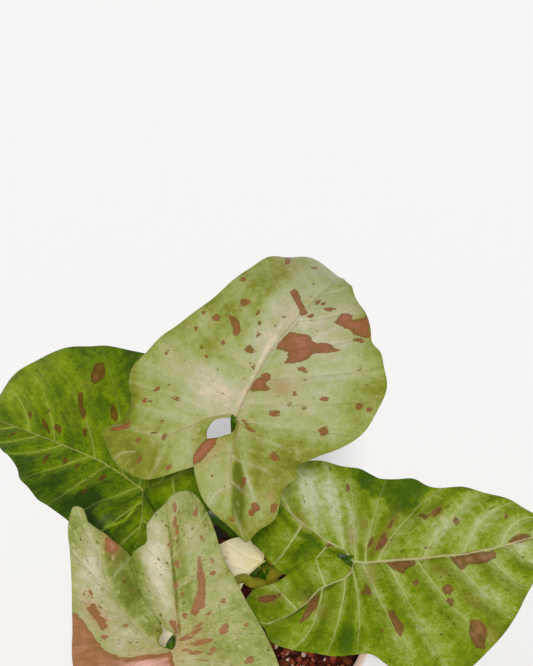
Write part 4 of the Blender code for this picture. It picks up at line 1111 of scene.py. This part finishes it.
# The left leaf: a living blade of a fuller green, half under the top one. It grows from its own petiole,
# has pale veins, dark streaks between them and a few brown marks, and its notch is closed by one lobe laid
# over the other.
leaf_left = {
    "at": (-29.68, 7.49, 158.0), "turn": 152, "pitch": -5, "roll": -14, "size": 1.03,
    "tip_droop": 25, "droop_power": 1.6, "lobe_droop": 12, "fold_left": 0, "fold_right": 10, "curl": 8,
    "wave": 0.5, "waves": 9, "wave_start": 1.1, "puff": 0.9, "rib_half": 0.34, "rib_taper": 0.6,
    "midrib": [(0, 0), (10, -3), (20, -5.5), (40, -8), (60.5, -11), (75, -14), (86.5, -17.5)],
    "left": {
        "over": 1.3,
        "rib": [(0, 0), (-4, 8), (-7, 15), (-9, 23)],
        "veins": [
            (-0.5, -14, 12.5), (-1, -15, 26.5), (-0.6, -1, 31), (-0.2, 9, 27), (0.02, 21, 19.2),
            (0.2, 30, 16.8), (0.3, 47.5, 9.3), (0.44, 60, 0.3), (0.58, 70, -4.5), (0.74, 80, -12),
        ],
        "margin": [
            (-1.7, 1.6, -0.08), (-5, 4, -0.22), (-9, 7.5, -0.4), (-13, 11, -0.58), (-17, 16, -0.8),
            (-18, 19.5, -0.9), (-15, 26.5, -1), (-8, 30.5, -1), (-1, 31, -0.7), (7, 28, -0.35),
            (13.5, 23.5, -0.1), (20, 19.5, 0.02), (29, 17, 0.12), (36, 15, 0.22), (42.5, 11.5, 0.32),
            (48, 9, 0.4), (53, 4.5, 0.5), (58.5, 1, 0.6), (65.5, -2, 0.7), (72.5, -6.5, 0.8),
            (80, -12, 0.9), (86.5, -17.5, 1),
        ],
    },
    "right": {
        "rib": [(0, 0), (-6, -6), (-11, -11), (-16, -16)],
        "veins": [
            (-0.5, -19, 5), (-1, -23, -15), (-0.6, -10, -29.5), (-0.3, -2, -38), (0.02, 18, -50),
            (0.12, 45, -50.7), (0.27, 70, -43.4), (0.49, 77.5, -37.5), (0.64, 83, -27),
        ],
        "margin": [
            (-4, 3.5, -0.2), (-10, 7, -0.42), (-16, 6.5, -0.6), (-22, 3, -0.78), (-26.5, -2, -0.93),
            (-27, -9, -1), (-23, -16, -1), (-16.5, -21.5, -0.98), (-12, -26.5, -0.8), (-7.5, -32.5, -0.55),
            (-1, -39, -0.3), (7, -45, -0.05), (18, -50, 0.07), (29, -51.5, 0.18), (39.5, -51, 0.28),
            (48.5, -50.5, 0.38), (56.5, -49, 0.48), (63.5, -46.5, 0.56), (70, -43.5, 0.64),
            (75, -39.5, 0.71), (79, -35, 0.78), (82, -29.5, 0.84), (83.5, -24.5, 0.9), (85, -21, 0.95),
            (86.5, -17.5, 1),
        ],
    },
    "splashes": [
        [(35.6, -19.6), (38, -21), (41.4, -25.6), (44, -29.6), (41.6, -29), (38.6, -25), (35.8, -21.6)],
        [(37.9, -33.7), (35.8, -37), (37.6, -40), (39.9, -43.2), (42.8, -42.4), (41.6, -37.8),
         (39.8, -34.4)],
        [(22.4, -21.6), (24.2, -22.2), (26, -24.4), (27.8, -27.6), (25.6, -27), (23.6, -24.6)],
    ],
    "spots": [
        (44, -13.6, 2.2, 1.1, -40), (49.4, -13.6, 2.6, 0.9, -40), (52.7, -18.9, 1.2, 1, -40),
        (16.5, 0.4, 1.2, 1.5, 0), (34.2, -2.1, 1, 1.5, 0), (41.6, -0.9, 1, 2, 0), (28, -1, 0.8, 1.2, 0),
        (60, -18, 2.2, 0.6, -40), (57, -27, 2, 0.6, -45), (32, -14, 1.4, 0.6, -40), (63, -8, 1.4, 0.6, 30),
        (20, 8, 1.2, 0.6, 60),
    ],
    # The dark oval at (16.4, 10.6) is painted shade in the dip at the edge of the bulge.
    "tones": [
        (10, 14, 14, 7, -20, 0.16), (27, 12, 24, 6, -18, 0.24), (48, 5, 14, 4, -30, 0.16),
        (24, -42, 8, 8, 0, 0.12), (67, -29, 13, 10, -35, -0.26), (52, -38, 14, 8, -20, -0.12),
        (72, -20, 8, 6, 0, -0.06), (10, 8, 12, 10, 0, 0.1), (16.4, 10.6, 3.4, 2.4, 40, 0.9),
        (9.6, 13, 4.6, 4, 0, -0.3), (8, 18, 7, 1.2, -20, 0.4), (-0.6, 9.5, 4.5, 0.7, 83, -0.6),
        (3, 16, 3.5, 0.7, 40, -0.6),
    ],
    "flushes": [(40, -20, 8, 3, -38, 0.15), (41, -33, 4, 4, 0, 0.25)],
    "fields": [
        (
            [(13.4, 15.6), (12.6, 12), (13.6, 8.4), (17, 6.6), (20, 8), (21, 11.4), (19, 15), (16, 16.6)],
            1.2, 0.5,
        ),
    ],
    "edge_tone": 0.1, "edge_width": 3,
    "swells": [(9.6, 12.6, 5, 4.4, 0, 1.5), (17.6, 10.4, 3, 2.4, 40, -1.0)],
}
left_look = {
    "tones": [
        (0.0, "243a00"), (0.25, "405800"), (0.48, "5e7600"), (0.68, "788c06"), (0.85, "90a02e"),
        (1.0, "aab268"),
    ],
    "milk": 0.5, "mottle": (0.6, 0.5, 0.7, 0.5), "vein_gap_shade": 0.12, "gloss": 0.1,
    "veins": ("a6b050", 0.42, 0.16), "rib": ("aeab5c", 0.7), "worn": 0.85, "blush": "85702f",
    "splash": ("4e3008", "613a10", "724c22"), "cover": 0.86, "under": "84924a", "rough": 0.4,
    "speckles": [(0.5, 0.62, 0.2, 0.6, "2c3f04", "4a3c0c"), (1.0, 0.6, 0.2, 0.5, "364a04", "4e5e0a")],
}
blade("left_leaf", leaf_left, "full green leaf", left_look, "blade_left")

# The front leaf: a pale, closely speckled living blade, folded along its midrib with both lobes standing up
# from its petiole. One side of it, from the petiole towards the tip, is a single rosy brown sector.
leaf_front = {
    "at": (-17.53, -50.22, 140.0), "turn": -76, "pitch": -35, "roll": 0, "size": 0.98,
    "tip_droop": 20, "droop_power": 1.6, "lobe_droop": 0, "fold_left": 18, "fold_right": 18, "curl": 5,
    "wave": 0.4, "waves": 10, "wave_start": 2.0, "puff": 0.25, "rib_half": 0.36, "rib_taper": 0.85,
    "midrib": [(0, 0), (20, 0.5), (40, 1), (60, 0.5), (84, 0)],
    "left": {
        "over": 1.3,
        "rib": [(0, 0), (-1.5, 2), (-6, 3), (-20, 4.4), (-42, 7)],
        "veins": [
            (-0.35, -20, -6.8), (-0.7, -38, -1.8), (-1, -53, 11), (-0.75, -44, 21), (-0.5, -28, 23.6),
            (-0.28, -12, 28.3), (-0.1, 1, 32.5), (0.04, 16, 35.3), (0.15, 30, 33.5), (0.28, 44, 27),
            (0.44, 58, 17.5), (0.62, 70, 9), (0.8, 79, 3),
        ],
        "margin": [
            (-1.2, 1.4, -0.05), (-3.5, 2, -0.1), (-5.5, 1.2, -0.15), (-7, -0.6, -0.19), (-10, -2.2, -0.26),
            (-15, -4.5, -0.37), (-20, -6.8, -0.48), (-25, -8, -0.6), (-31, -8.8, -0.73),
            (-34.5, -7.8, -0.81), (-36.8, -5, -0.86), (-38, -1.8, -0.9), (-41, -1.2, -0.94),
            (-44, -0.8, -0.97), (-47, 2, -1), (-50, 6.5, -1), (-53, 11, -1), (-52.5, 17, -1),
            (-46, 20.5, -0.9), (-37, 22.5, -0.72), (-28, 23.6, -0.54), (-20, 26, -0.38), (-12, 28.3, -0.2),
            (-4, 31.2, -0.06), (5, 33.8, 0.05), (14, 35.5, 0.15), (24, 35, 0.26), (34, 32, 0.38),
            (44, 27, 0.5), (54, 20.5, 0.62), (64, 13, 0.76), (74, 6, 0.88), (84, 0, 1),
        ],
    },
    "right": {
        "rib": [
            (0, 0), (-1.2, -3.4), (-5.7, -8), (-12, -12.7), (-18.3, -16.3), (-26.4, -18.7), (-38, -20.5),
        ],
        "veins": [
            (-0.4, -14, -3.4), (-0.75, -34, -8.6), (-1, -54, -25), (-0.7, -40, -30), (-0.45, -24, -32),
            (-0.22, -8, -34.8), (-0.05, 8, -36), (0.06, 22, -33.5), (0.18, 36, -28.5), (0.32, 50, -20.5),
            (0.48, 63, -12), (0.66, 75, -4.6),
        ],
        "margin": [
            (-0.8, -1.6, -0.04), (-1.8, -3, -0.08), (-3.3, -4.2, -0.13), (-5.2, -3.6, -0.18),
            (-7, -2.2, -0.24), (-14, -3.4, -0.4), (-22, -5.4, -0.56), (-30, -7.2, -0.73),
            (-34, -8.6, -0.82), (-37, -10.5, -0.88), (-40.5, -14, -0.94), (-44, -17, -0.98),
            (-46, -19.5, -1), (-49, -22.2, -1), (-52.5, -22.5, -1), (-54, -25, -1), (-53, -27, -1),
            (-47, -29.3, -0.93), (-38, -30.2, -0.78), (-29, -31.2, -0.6), (-20, -32.7, -0.4),
            (-12, -34, -0.22), (-4, -35.6, -0.06), (6, -36, 0.05), (16, -35, 0.16), (26, -32.5, 0.27),
            (36, -28.5, 0.39), (46, -23, 0.51), (56, -16.5, 0.64), (66, -10, 0.78), (76, -4, 0.9),
            (84, 0, 1),
        ],
    },
    "splashes": [
        [(-29.8, 15.4), (-26.4, 16.2), (-19.5, 15.9), (-15.3, 14.9), (-12.1, 13.3), (-10.1, 10.1),
         (-11.1, 8.5), (-14.2, 10.1), (-17.9, 12.7), (-23.8, 13.3)],
        [(-5.8, 22), (-4, 20.8), (-2.2, 20), (-1, 17), (-3, 17.6), (-5, 19.6)],
        [(-19.5, -24.8), (-15.3, -23.2), (-11.6, -20.8), (-10, -23.7), (-14.8, -25.8), (-19, -28)],
        [(-42.4, -15.8), (-38.2, -11.6), (-36, -14.5), (-37, -18), (-39.4, -17)],
        [(0.5, -0.2), (0.5, -1), (0, -17), (-3.1, -23.7), (-10, -27.2), (-17.9, -32.2), (-18.5, -35),
         (-10, -37), (0, -38.6), (15, -38.4), (30, -34.5), (42, -28.4), (39, -21), (46, -15), (43, -9),
         (50, -3), (46, 0.2), (30, 0.3), (12, 0)],
        [(22, 22), (28, 24), (33, 23), (31, 19), (27, 17), (24, 19)],
    ],
    "spots": [
        (-12.7, 20.7, 1.1, 1.1, 0), (8.6, 26, 1.1, 1.6, 0), (-2.9, 27, 0.8, 0.8, 0),
        (-4.7, 9.8, 2.6, 0.7, -65), (-49, 10, 1.4, 0.7, 0), (-41.7, 9.6, 2, 0.8, -10),
        (-35.7, 5.6, 0.9, 0.7, 0), (-29, 7.2, 1.6, 0.7, 0), (-21.6, 5.3, 1, 0.7, 0),
        (-17.4, 7.2, 1, 0.7, 0), (-10.5, 6.4, 1, 0.7, 0), (-6.8, 3.5, 1.6, 0.7, 0),
        (-13.7, 4, 0.9, 0.6, 0), (-9, 1.6, 0.9, 0.6, 0), (-35, 17.8, 1.1, 0.7, 0),
        (-45, 16.7, 0.8, 0.7, 0), (-48, 17.2, 0.8, 0.7, 0), (-39.6, 15, 0.7, 0.7, 0),
        (-28.3, 17.2, 0.8, 0.7, 0), (-27.2, 19.6, 0.8, 0.7, 0), (-23, 19, 0.8, 0.7, 0),
        (-29.6, -3.4, 0.9, 0.7, -30), (-24, -25.3, 1.6, 0.7, 0), (-8.2, -23.2, 0.6, 1.4, 0),
        (-11, -15.3, 0.6, 2.1, 0), (-23.8, -27.7, 0.8, 0.7, 0), (-21.4, -9.2, 0.8, 0.7, 0),
        (12, 12, 1.4, 0.7, 80), (-0.6, 9.8, 4.4, 0.8, 95), (-3.5, 5.4, 2.2, 0.8, 110),
        (-6, 10.5, 2.9, 0.6, 120), (2.4, 7.6, 2.4, 0.7, 88), (-9, 14.5, 1.8, 0.6, 140),
        (0.8, 5, 1.6, 0.6, 95), (5.4, 9, 1.8, 0.6, 75), (-6.5, 2.6, 2.4, 0.8, 165), (18, 26, 1.2, 0.8, 60),
        (38, 12, 2.4, 1, 60), (50, 9, 1.8, 0.8, 60), (3, 14, 0.7, 1.6, 10),
    ],
    # The first two tones are painted shade on the inner side of the right lobe, which faces away from the
    # light.
    "tones": [
        (-25, -11, 16, 4, 14, 0.14), (-9, -6.5, 8, 3.4, 35, 0.1), (-50, -24, 6, 5, 0, 0.16),
        (-38, 20, 12, 3, 0, 0.14), (4, 30, 12, 5, 0, 0.14), (-25, -1.5, 20, 5, -10, -0.5),
        (-24, 8.6, 20, 2.6, 4, 0.26), (-8, -15, 6, 8, 30, -0.12), (-36, 9.4, 14, 1.8, 0, 0.18),
        (-22, 5.1, 22, 0.6, -5, 0.7), (0, 20, 20, 10, 0, 0.12), (-16, 22, 8, 6, 0, -0.04),
        (30, 10, 20, 12, 0, 0.05), (-14, 6.5, 10, 1.6, 0, 0.16), (-32, -24, 16, 5, 0, -0.1),
        (-22, -22, 14, 5, 20, -0.2), (-24, 20, 18, 4, 0, -0.1),
    ],
    "flushes": [
        (7, -11, 8, 9, 0, 1.0), (22, -10, 16, 9, 0, 0.5), (-36, 5.5, 3, 1.4, 0, 0.35),
        (-6, 11, 3, 4, 0, 0.2), (-8, 3, 10, 1.4, -8, 0.4), (-40, 8.5, 9, 1.4, 0, 0.25),
        (-39, -14.6, 4, 3, 0, 0.9), (-16, -24.5, 7, 3.6, 30, 0.75), (0, 7, 4, 6, 0, 0.45),
    ],
    # Painted shade on the inner side of the right lobe, which faces away from the light
    "fields": [
        (
            [(-1, -2), (-5.7, -7.6), (-12, -12.2), (-18.3, -15.8), (-26.4, -18.2), (-36, -18.4), (-42, -17),
             (-38, -9), (-34, -6), (-22, -2), (-10, 0), (-4, -1)],
            1.4, 0.34,
        ),
    ],
    "edge_tone": 0.14, "edge_width": 3.5,
    "swells": [(4, -22, 3, 14, 12, -0.7), (12, -12, 4, 12, 30, 0.5)],
}
front_look = {
    "tones": [
        (0.0, "5c6616"), (0.25, "7c8436"), (0.48, "969a5c"), (0.68, "a6a67a"), (0.85, "b6b292"),
        (1.0, "c8c2a6"),
    ],
    "milk": 0.575, "mottle": (0.75, 0.6, 0.5, 0.5), "vein_gap_shade": 0.04, "gloss": 0.22,
    "veins": ("cac79c", 0.14, 0.18), "rib": ("c6bd90", 0.3), "worn": 0.7, "blush": "b07c58",
    # On the big sector, the brown of the splash colours is partly painted shade where the blade curves
    # away, and the veil makes it rosy near the petiole.
    "veil": "dcaca0", "veil_share": 1.0, "splash": ("84582e", "905e3a", "a47052"), "cover": 0.93,
    "under": "b2b78c", "rough": 0.44,
    "speckles": [
        (0.55, 0.5, 0.17, 0.85, "664420", "5c5c1e"), (1.2, 0.45, 0.2, 0.75, "6e5026", "5f6424"),
        (0.7, 0.6, 0.24, 0.3, "d2cfaa", "c6b590"),
    ],
}
blade("front_leaf", leaf_front, "pale speckled leaf", front_look, "blade_front")

# The right leaf: a broad living blade of fresh green between pale veins, grown from its petiole and washed
# with grey milk towards its tip. Brown patches lie on its midrib, and one lobe laps over the other behind
# the petiole.
leaf_right = {
    "at": (45.21, -12.44, 142.0), "turn": 9, "pitch": 0, "roll": 12, "size": 1.0,
    "tip_droop": 30, "droop_power": 1.6, "lobe_droop": 10, "fold_left": 8, "fold_right": 8, "curl": 8,
    "wave": 0.5, "waves": 11, "wave_start": 0.0, "puff": 1.3, "rib_half": 0.5, "rib_taper": 0.55,
    "midrib": [(0, 0), (5, -1), (23, -1.6), (41.6, -0.8), (56.6, 2.5), (70, 7), (82, 8.8), (92, 9.6)],
    "left": {
        "rib": [(0, 0), (-1.5, 4.2), (-9, 10.2), (-17.5, 20), (-24, 30)],
        "veins": [
            (-0.3, -16, 0.2), (-0.6, -28, 3), (-1, -33, 26), (-0.75, -22, 38), (-0.45, -12, 42.3),
            (-0.15, -2, 41), (0.01, 6, 38.2), (0.045, 17.5, 31.6), (0.09, 38, 26.4), (0.27, 54, 24.6),
            (0.43, 66, 20.8), (0.6, 79, 15), (0.78, 88, 11.2),
        ],
        "margin": [
            (-1.2, 2.6, -0.07), (-2.5, 3.8, -0.13), (-4, 3.6, -0.17), (-6, 1.6, -0.22), (-9, 0.6, -0.29),
            (-14, 0.4, -0.39), (-19, -0.6, -0.5), (-23.5, -1.6, -0.6), (-27, 1.5, -0.7), (-30, 6.5, -0.79),
            (-32.5, 10.5, -0.87), (-34.5, 14, -0.94), (-35, 21, -1), (-31, 30, -1), (-25, 36, -0.8),
            (-18, 40, -0.6), (-11, 42.5, -0.35), (-4, 41.5, -0.12), (2, 39.2, 0), (9, 37, 0.06),
            (13, 34, 0.12), (16, 31.8, 0.16), (22, 31, 0.23), (28, 30.5, 0.3), (33, 27.6, 0.36),
            (38, 26.4, 0.42), (47, 26.2, 0.52), (56, 24, 0.62), (64, 21.5, 0.7), (72, 18.4, 0.79),
            (80, 14.6, 0.88), (87, 11.6, 0.95), (92, 9.6, 1),
        ],
    },
    "right": {
        "over": 1.6,
        "rib": [
            (0, 0), (-1.5, -4.5), (-5, -6.8), (-13.5, -9.2), (-19.3, -14.7), (-25.3, -18.3), (-32, -20),
        ],
        "veins": [
            (-0.4, -13, 2.6), (-0.75, -30, -4.7), (-1, -36, -19), (-0.42, -27, -31.5), (-0.2, -16, -35.7),
            (-0.06, -6, -36.7), (0.03, 13, -48.2), (0.13, 24, -49.5), (0.24, 41, -39.4), (0.39, 53, -28),
            (0.53, 63, -14.5), (0.66, 74, -2.5), (0.8, 84, 5),
        ],
        "margin": [
            (-1, -2.4, -0.06), (-3, -0.8, -0.14), (-5.7, 1.8, -0.22), (-9, 2.3, -0.3), (-13, 2.6, -0.39),
            (-17, 1.9, -0.48), (-21, 0.2, -0.57), (-25, -3, -0.67), (-30, -4.7, -0.78), (-35, -5.6, -0.88),
            (-39, -8.6, -0.96), (-39.5, -12, -1), (-37, -18, -1), (-35, -22, -1), (-33.5, -28, -0.9),
            (-28, -31, -0.75), (-21, -34, -0.58), (-14, -36.6, -0.4), (-7, -36.6, -0.22),
            (-1, -37.6, -0.08), (4, -43, 0.04), (10, -47, 0.11), (18, -49.6, 0.2), (26, -49.2, 0.29),
            (33, -45.8, 0.37), (41, -39.4, 0.46), (48, -33, 0.54), (55, -25, 0.63), (62, -16, 0.72),
            (70, -6.5, 0.8), (78, 1, 0.88), (85, 5.6, 0.94), (92, 9.6, 1),
        ],
    },
    "splashes": [
        [(11.5, -1.4), (17, -1.2), (22.6, -1.6), (21.4, -4.6), (19, -5.6), (16.5, -7.8), (14, -5),
         (12.6, -3)],
        [(35.3, -2), (38, -1.2), (41.6, -0.4), (47, 0.2), (52.4, 0.2), (52, -2.5), (49.1, -4.1),
         (45.7, -6.2), (41.6, -5), (37.8, -7.5), (36.6, -5)],
        [(58, 3.8), (61, 6), (66.6, 7.8), (70, 7.4), (66, 5.4), (61, 4)],
        [(8.1, -21.7), (9.8, -22.1), (11.9, -29.2), (10.2, -32.6), (8.6, -27.5)],
        [(29, -18.3), (31.5, -20), (32, -23.4), (29.9, -22.5)],
        [(35.7, -28.4), (39.1, -29.6), (40.7, -31.7), (39.6, -36), (38.2, -40.9), (34.5, -40), (34, -34.2)],
        # Painted brown shade in the hollow beside the right lobe's rib
        [(-13.4, -10.6), (-15.4, -11.8), (-19, -17), (-22.6, -22.6), (-19.6, -21), (-15, -15.4)],
    ],
    "spots": [
        (30.7, -15.8, 1.6, 1.6, 0), (27.8, -27.5, 0.9, 1.7, 0), (2.3, -13.3, 1.3, 2.9, -10),
        (8.1, 6.7, 1.6, 0.6, 50), (12.3, 8, 1.4, 0.6, 50), (15.7, 12.2, 1.4, 0.6, 50),
        (3.5, 29.3, 0.9, 2, 10), (28.2, 15.9, 1, 1.6, 40), (40.3, 12.6, 1.6, 0.7, 70),
        (30.7, 9.2, 2.2, 0.6, 50), (27.4, 2.5, 2.1, 0.6, 10), (64, -1.6, 1.4, 0.8, 0),
        (4, -30, 0.7, 1.5, 0), (-7, 7.5, 1.4, 0.6, -10), (60, 14, 1.6, 0.7, 60), (20, -12, 0.8, 1.2, -30),
        (-31, -10.5, 3.6, 1.7, 10), (12, 5.6, 3, 0.8, 35), (34, 16.4, 2, 0.8, 40),
    ],
    # The oval at (-20, 6) is painted shade on the upper lobe under the edge of the lower one.
    "tones": [
        (18, 28, 12, 5, -22, 0.1), (25, 20, 6, 5, 0, 0.14), (31, 10, 9, 5, 10, -0.2),
        (-14, 8, 12, 4, -20, 0.14), (-28, 14, 8, 8, 0, 0.14), (-9, -30.5, 7, 5, 10, 0.36),
        (-7, 29, 9, 11, 15, -0.5), (-8, 14, 8, 10, 20, -0.2), (3, 18, 5, 12, 10, -0.1),
        (52, 14, 18, 8, -12, -0.22), (66, 2, 16, 9, 5, -0.24), (46, -16, 10, 7, -30, -0.16),
        (-6, 4, 10, 4, 25, -0.1), (-18, -6, 14, 3, 8, -0.1), (12, -40, 14, 6, 0, -0.04),
        (8, 17, 4, 8, 25, 0.1), (30, 4, 14, 3, 5, -0.12), (-24, -12, 10, 5, 30, 0.1),
        (-20, 6, 12, 3.5, 0, 0.25),
    ],
    "flushes": [
        (-31, -10.5, 4, 2.4, 10, 0.8), (6, 14, 2.2, 4, 10, 0.5), (42, -34, 4, 4, 0, 0.5),
        # The flush at (-17, -16) is painted brown shade in the same hollow beside the right lobe's rib.
        (46, -12, 5, 5, 0, 0.15), (9, 6, 4, 4, 30, 0.3), (-17, -16, 3, 7, 35, 0.55),
        (66, 6, 8, 2, 20, 0.3), (22, -1.4, 22, 1.2, 2, 0.3), (12, 6, 5, 2, 35, 0.7),
        (1, 10, 1.8, 5, 5, 0.6), (5, -7, 2, 4, -10, 0.5), (30, -8, 7, 2.4, -35, 0.45),
        (38, -22, 6, 2.4, -45, 0.4), (17, 14, 5, 2, 50, 0.5), (34, 16, 4, 2.4, 45, 0.4),
        (-16, 20, 2, 6, 20, 0.4),
    ],
    "fields": [
        (
            [(4, 44), (5.5, 33.5), (8.5, 28), (11, 23.5), (15, 24.5), (17.5, 20), (20, 18.5), (23, 16),
             (27.5, 18), (30.5, 22), (33.5, 29), (24, 36)],
            1.0, 0.27,
        ),
        # The next two fields are painted shade in the creases beside the two lobe ribs.
        (
            [(-3, 3), (-10.5, 9), (-19, 18.5), (-25.5, 28.5), (-27.2, 27.5), (-20.5, 16.5), (-12.5, 7.5),
             (-5, 2.5)],
            0.9, 0.32,
        ),
        ([(-6, -7.6), (-14, -10), (-20, -15.8), (-27, -19.6), (-20.5, -17.6), (-14, -12)], 0.8, 0.26),
    ],
    "edge_tone": 0.12, "edge_width": 3.5,
    "swells": [(26, 20, 8, 7, 30, -3.0), (10, 33, 5, 4, 0, -1.5), (-8, -30, 8, 6, 0, -0.8)],
}
right_look = {
    "tones": [
        (0.0, "3e5a00"), (0.2, "566e00"), (0.42, "748608"), (0.62, "8e9e42"), (0.8, "a6b076"),
        (1.0, "c2c7a6"),
    ],
    "milk": 0.56, "mottle": (0.5, 0.75, 0.4, 0.5), "vein_gap_shade": 0.2, "gloss": 0.14,
    "veins": ("b8be78", 0.85, 0.14), "rib": ("c4ba8c", 0.75), "worn": 0.4, "blush": "86603a",
    "splash": ("623c1c", "7c4a30", "96644e"), "cover": 0.84, "under": "98a464", "rough": 0.4,
    "speckles": [(0.55, 0.7, 0.18, 0.6, "4a4008", "3d5206"), (0.9, 0.6, 0.2, 0.4, "6a5a20", "55620c")],
}
blade("right_leaf", leaf_right, "fresh green leaf", right_look, "blade_right")

# The young leaf: the newest living blade, small, thin and almost without green, low over the soil on a
# short petiole. It has not opened its lobes yet, and its veins barely show.
leaf_young = {
    "at": (13.1, 10.75, 117.0), "turn": -142, "pitch": -13, "roll": 0, "size": 1.0,
    "tip_droop": 25, "droop_power": 1.6, "lobe_droop": 5, "fold_left": 4, "fold_right": 4, "curl": 6,
    "wave": 0.3, "waves": 6, "wave_start": 0.5, "puff": 0.12, "rib_half": 0.3, "rib_taper": 0.8,
    "midrib": [(0, 0), (18, 0.5), (36, 0.6), (56, 0)],
    "left": {
        "rib": [(0, 0), (-0.2, 0.3), (-0.3, 0.7)],
        "veins": [(0.05, 12, 3), (0.2, 22, 8.5), (0.35, 33, 9.4), (0.52, 44, 6), (0.7, 51, 2.8)],
        "margin": [
            (-0.4, 0.6, -0.7), (-0.3, 0.9, -1), (3, 0.8, 0.04), (8, 1, 0.13), (14, 4, 0.25),
            (22, 8.5, 0.4), (32, 9.5, 0.58), (42, 7, 0.75), (50, 3.2, 0.9), (56, 0, 1),
        ],
    },
    "right": {
        "rib": [(0, 0), (-1.2, -2.4), (-2.2, -6)],
        "veins": [
            (-0.5, -3, -9), (0, 6, -16.6), (0.12, 17, -16), (0.27, 29, -13), (0.45, 40, -8.6),
            (0.65, 50, -3.6),
        ],
        "margin": [
            (-1.6, -1.2, -0.3), (-3.4, -3.6, -0.7), (-3.4, -7, -1), (-1.6, -11.6, -0.8), (2, -15.5, 0),
            (7, -16.8, 0.1), (14, -16.6, 0.22), (24, -14.5, 0.4), (34, -11, 0.58), (44, -7, 0.77),
            (56, 0, 1),
        ],
    },
    "spots": [(20, -9, 1.2, 0.6, 60), (9, -11, 1, 0.5, 40), (33, 4, 1, 0.5, 60)],
    "tones": [(0, 0, 6, 6, 0, 0.3)],
    "flushes": [(12, -14, 8, 2, 10, 0.3), (24, -6, 10, 5, 0, 0.15)],
    "edge_tone": 0.3, "edge_width": 1.2,
}
young_look = {
    # Its tones run paler than the young leaf's own cream: painted light that makes up for the shade of the
    # leaves above it.
    "tones": [(0.0, "dcd684"), (0.3, "f4e8ae"), (0.6, "fff2d0"), (1.0, "fff2de")],
    "milk": 0.66, "mottle": (0.5, 0.5, 0.5, 0.4), "vein_gap_shade": 0.04, "gloss": 0.3,
    "veins": ("fff4d4", 0.3, 0.2), "rib": ("f6ecc0", 0.6), "worn": 0.3, "blush": "f6d0ba",
    "splash": ("c0946c", "d0a484", "dcb49c"), "cover": 0.5, "under": "e8dcb4", "rough": 0.46,
    "speckles": [(0.5, 0.84, 0.2, 0.3, "b89a68", "b4b070")],
}
blade("young_leaf", leaf_young, "cream young leaf", young_look, "blade_young")
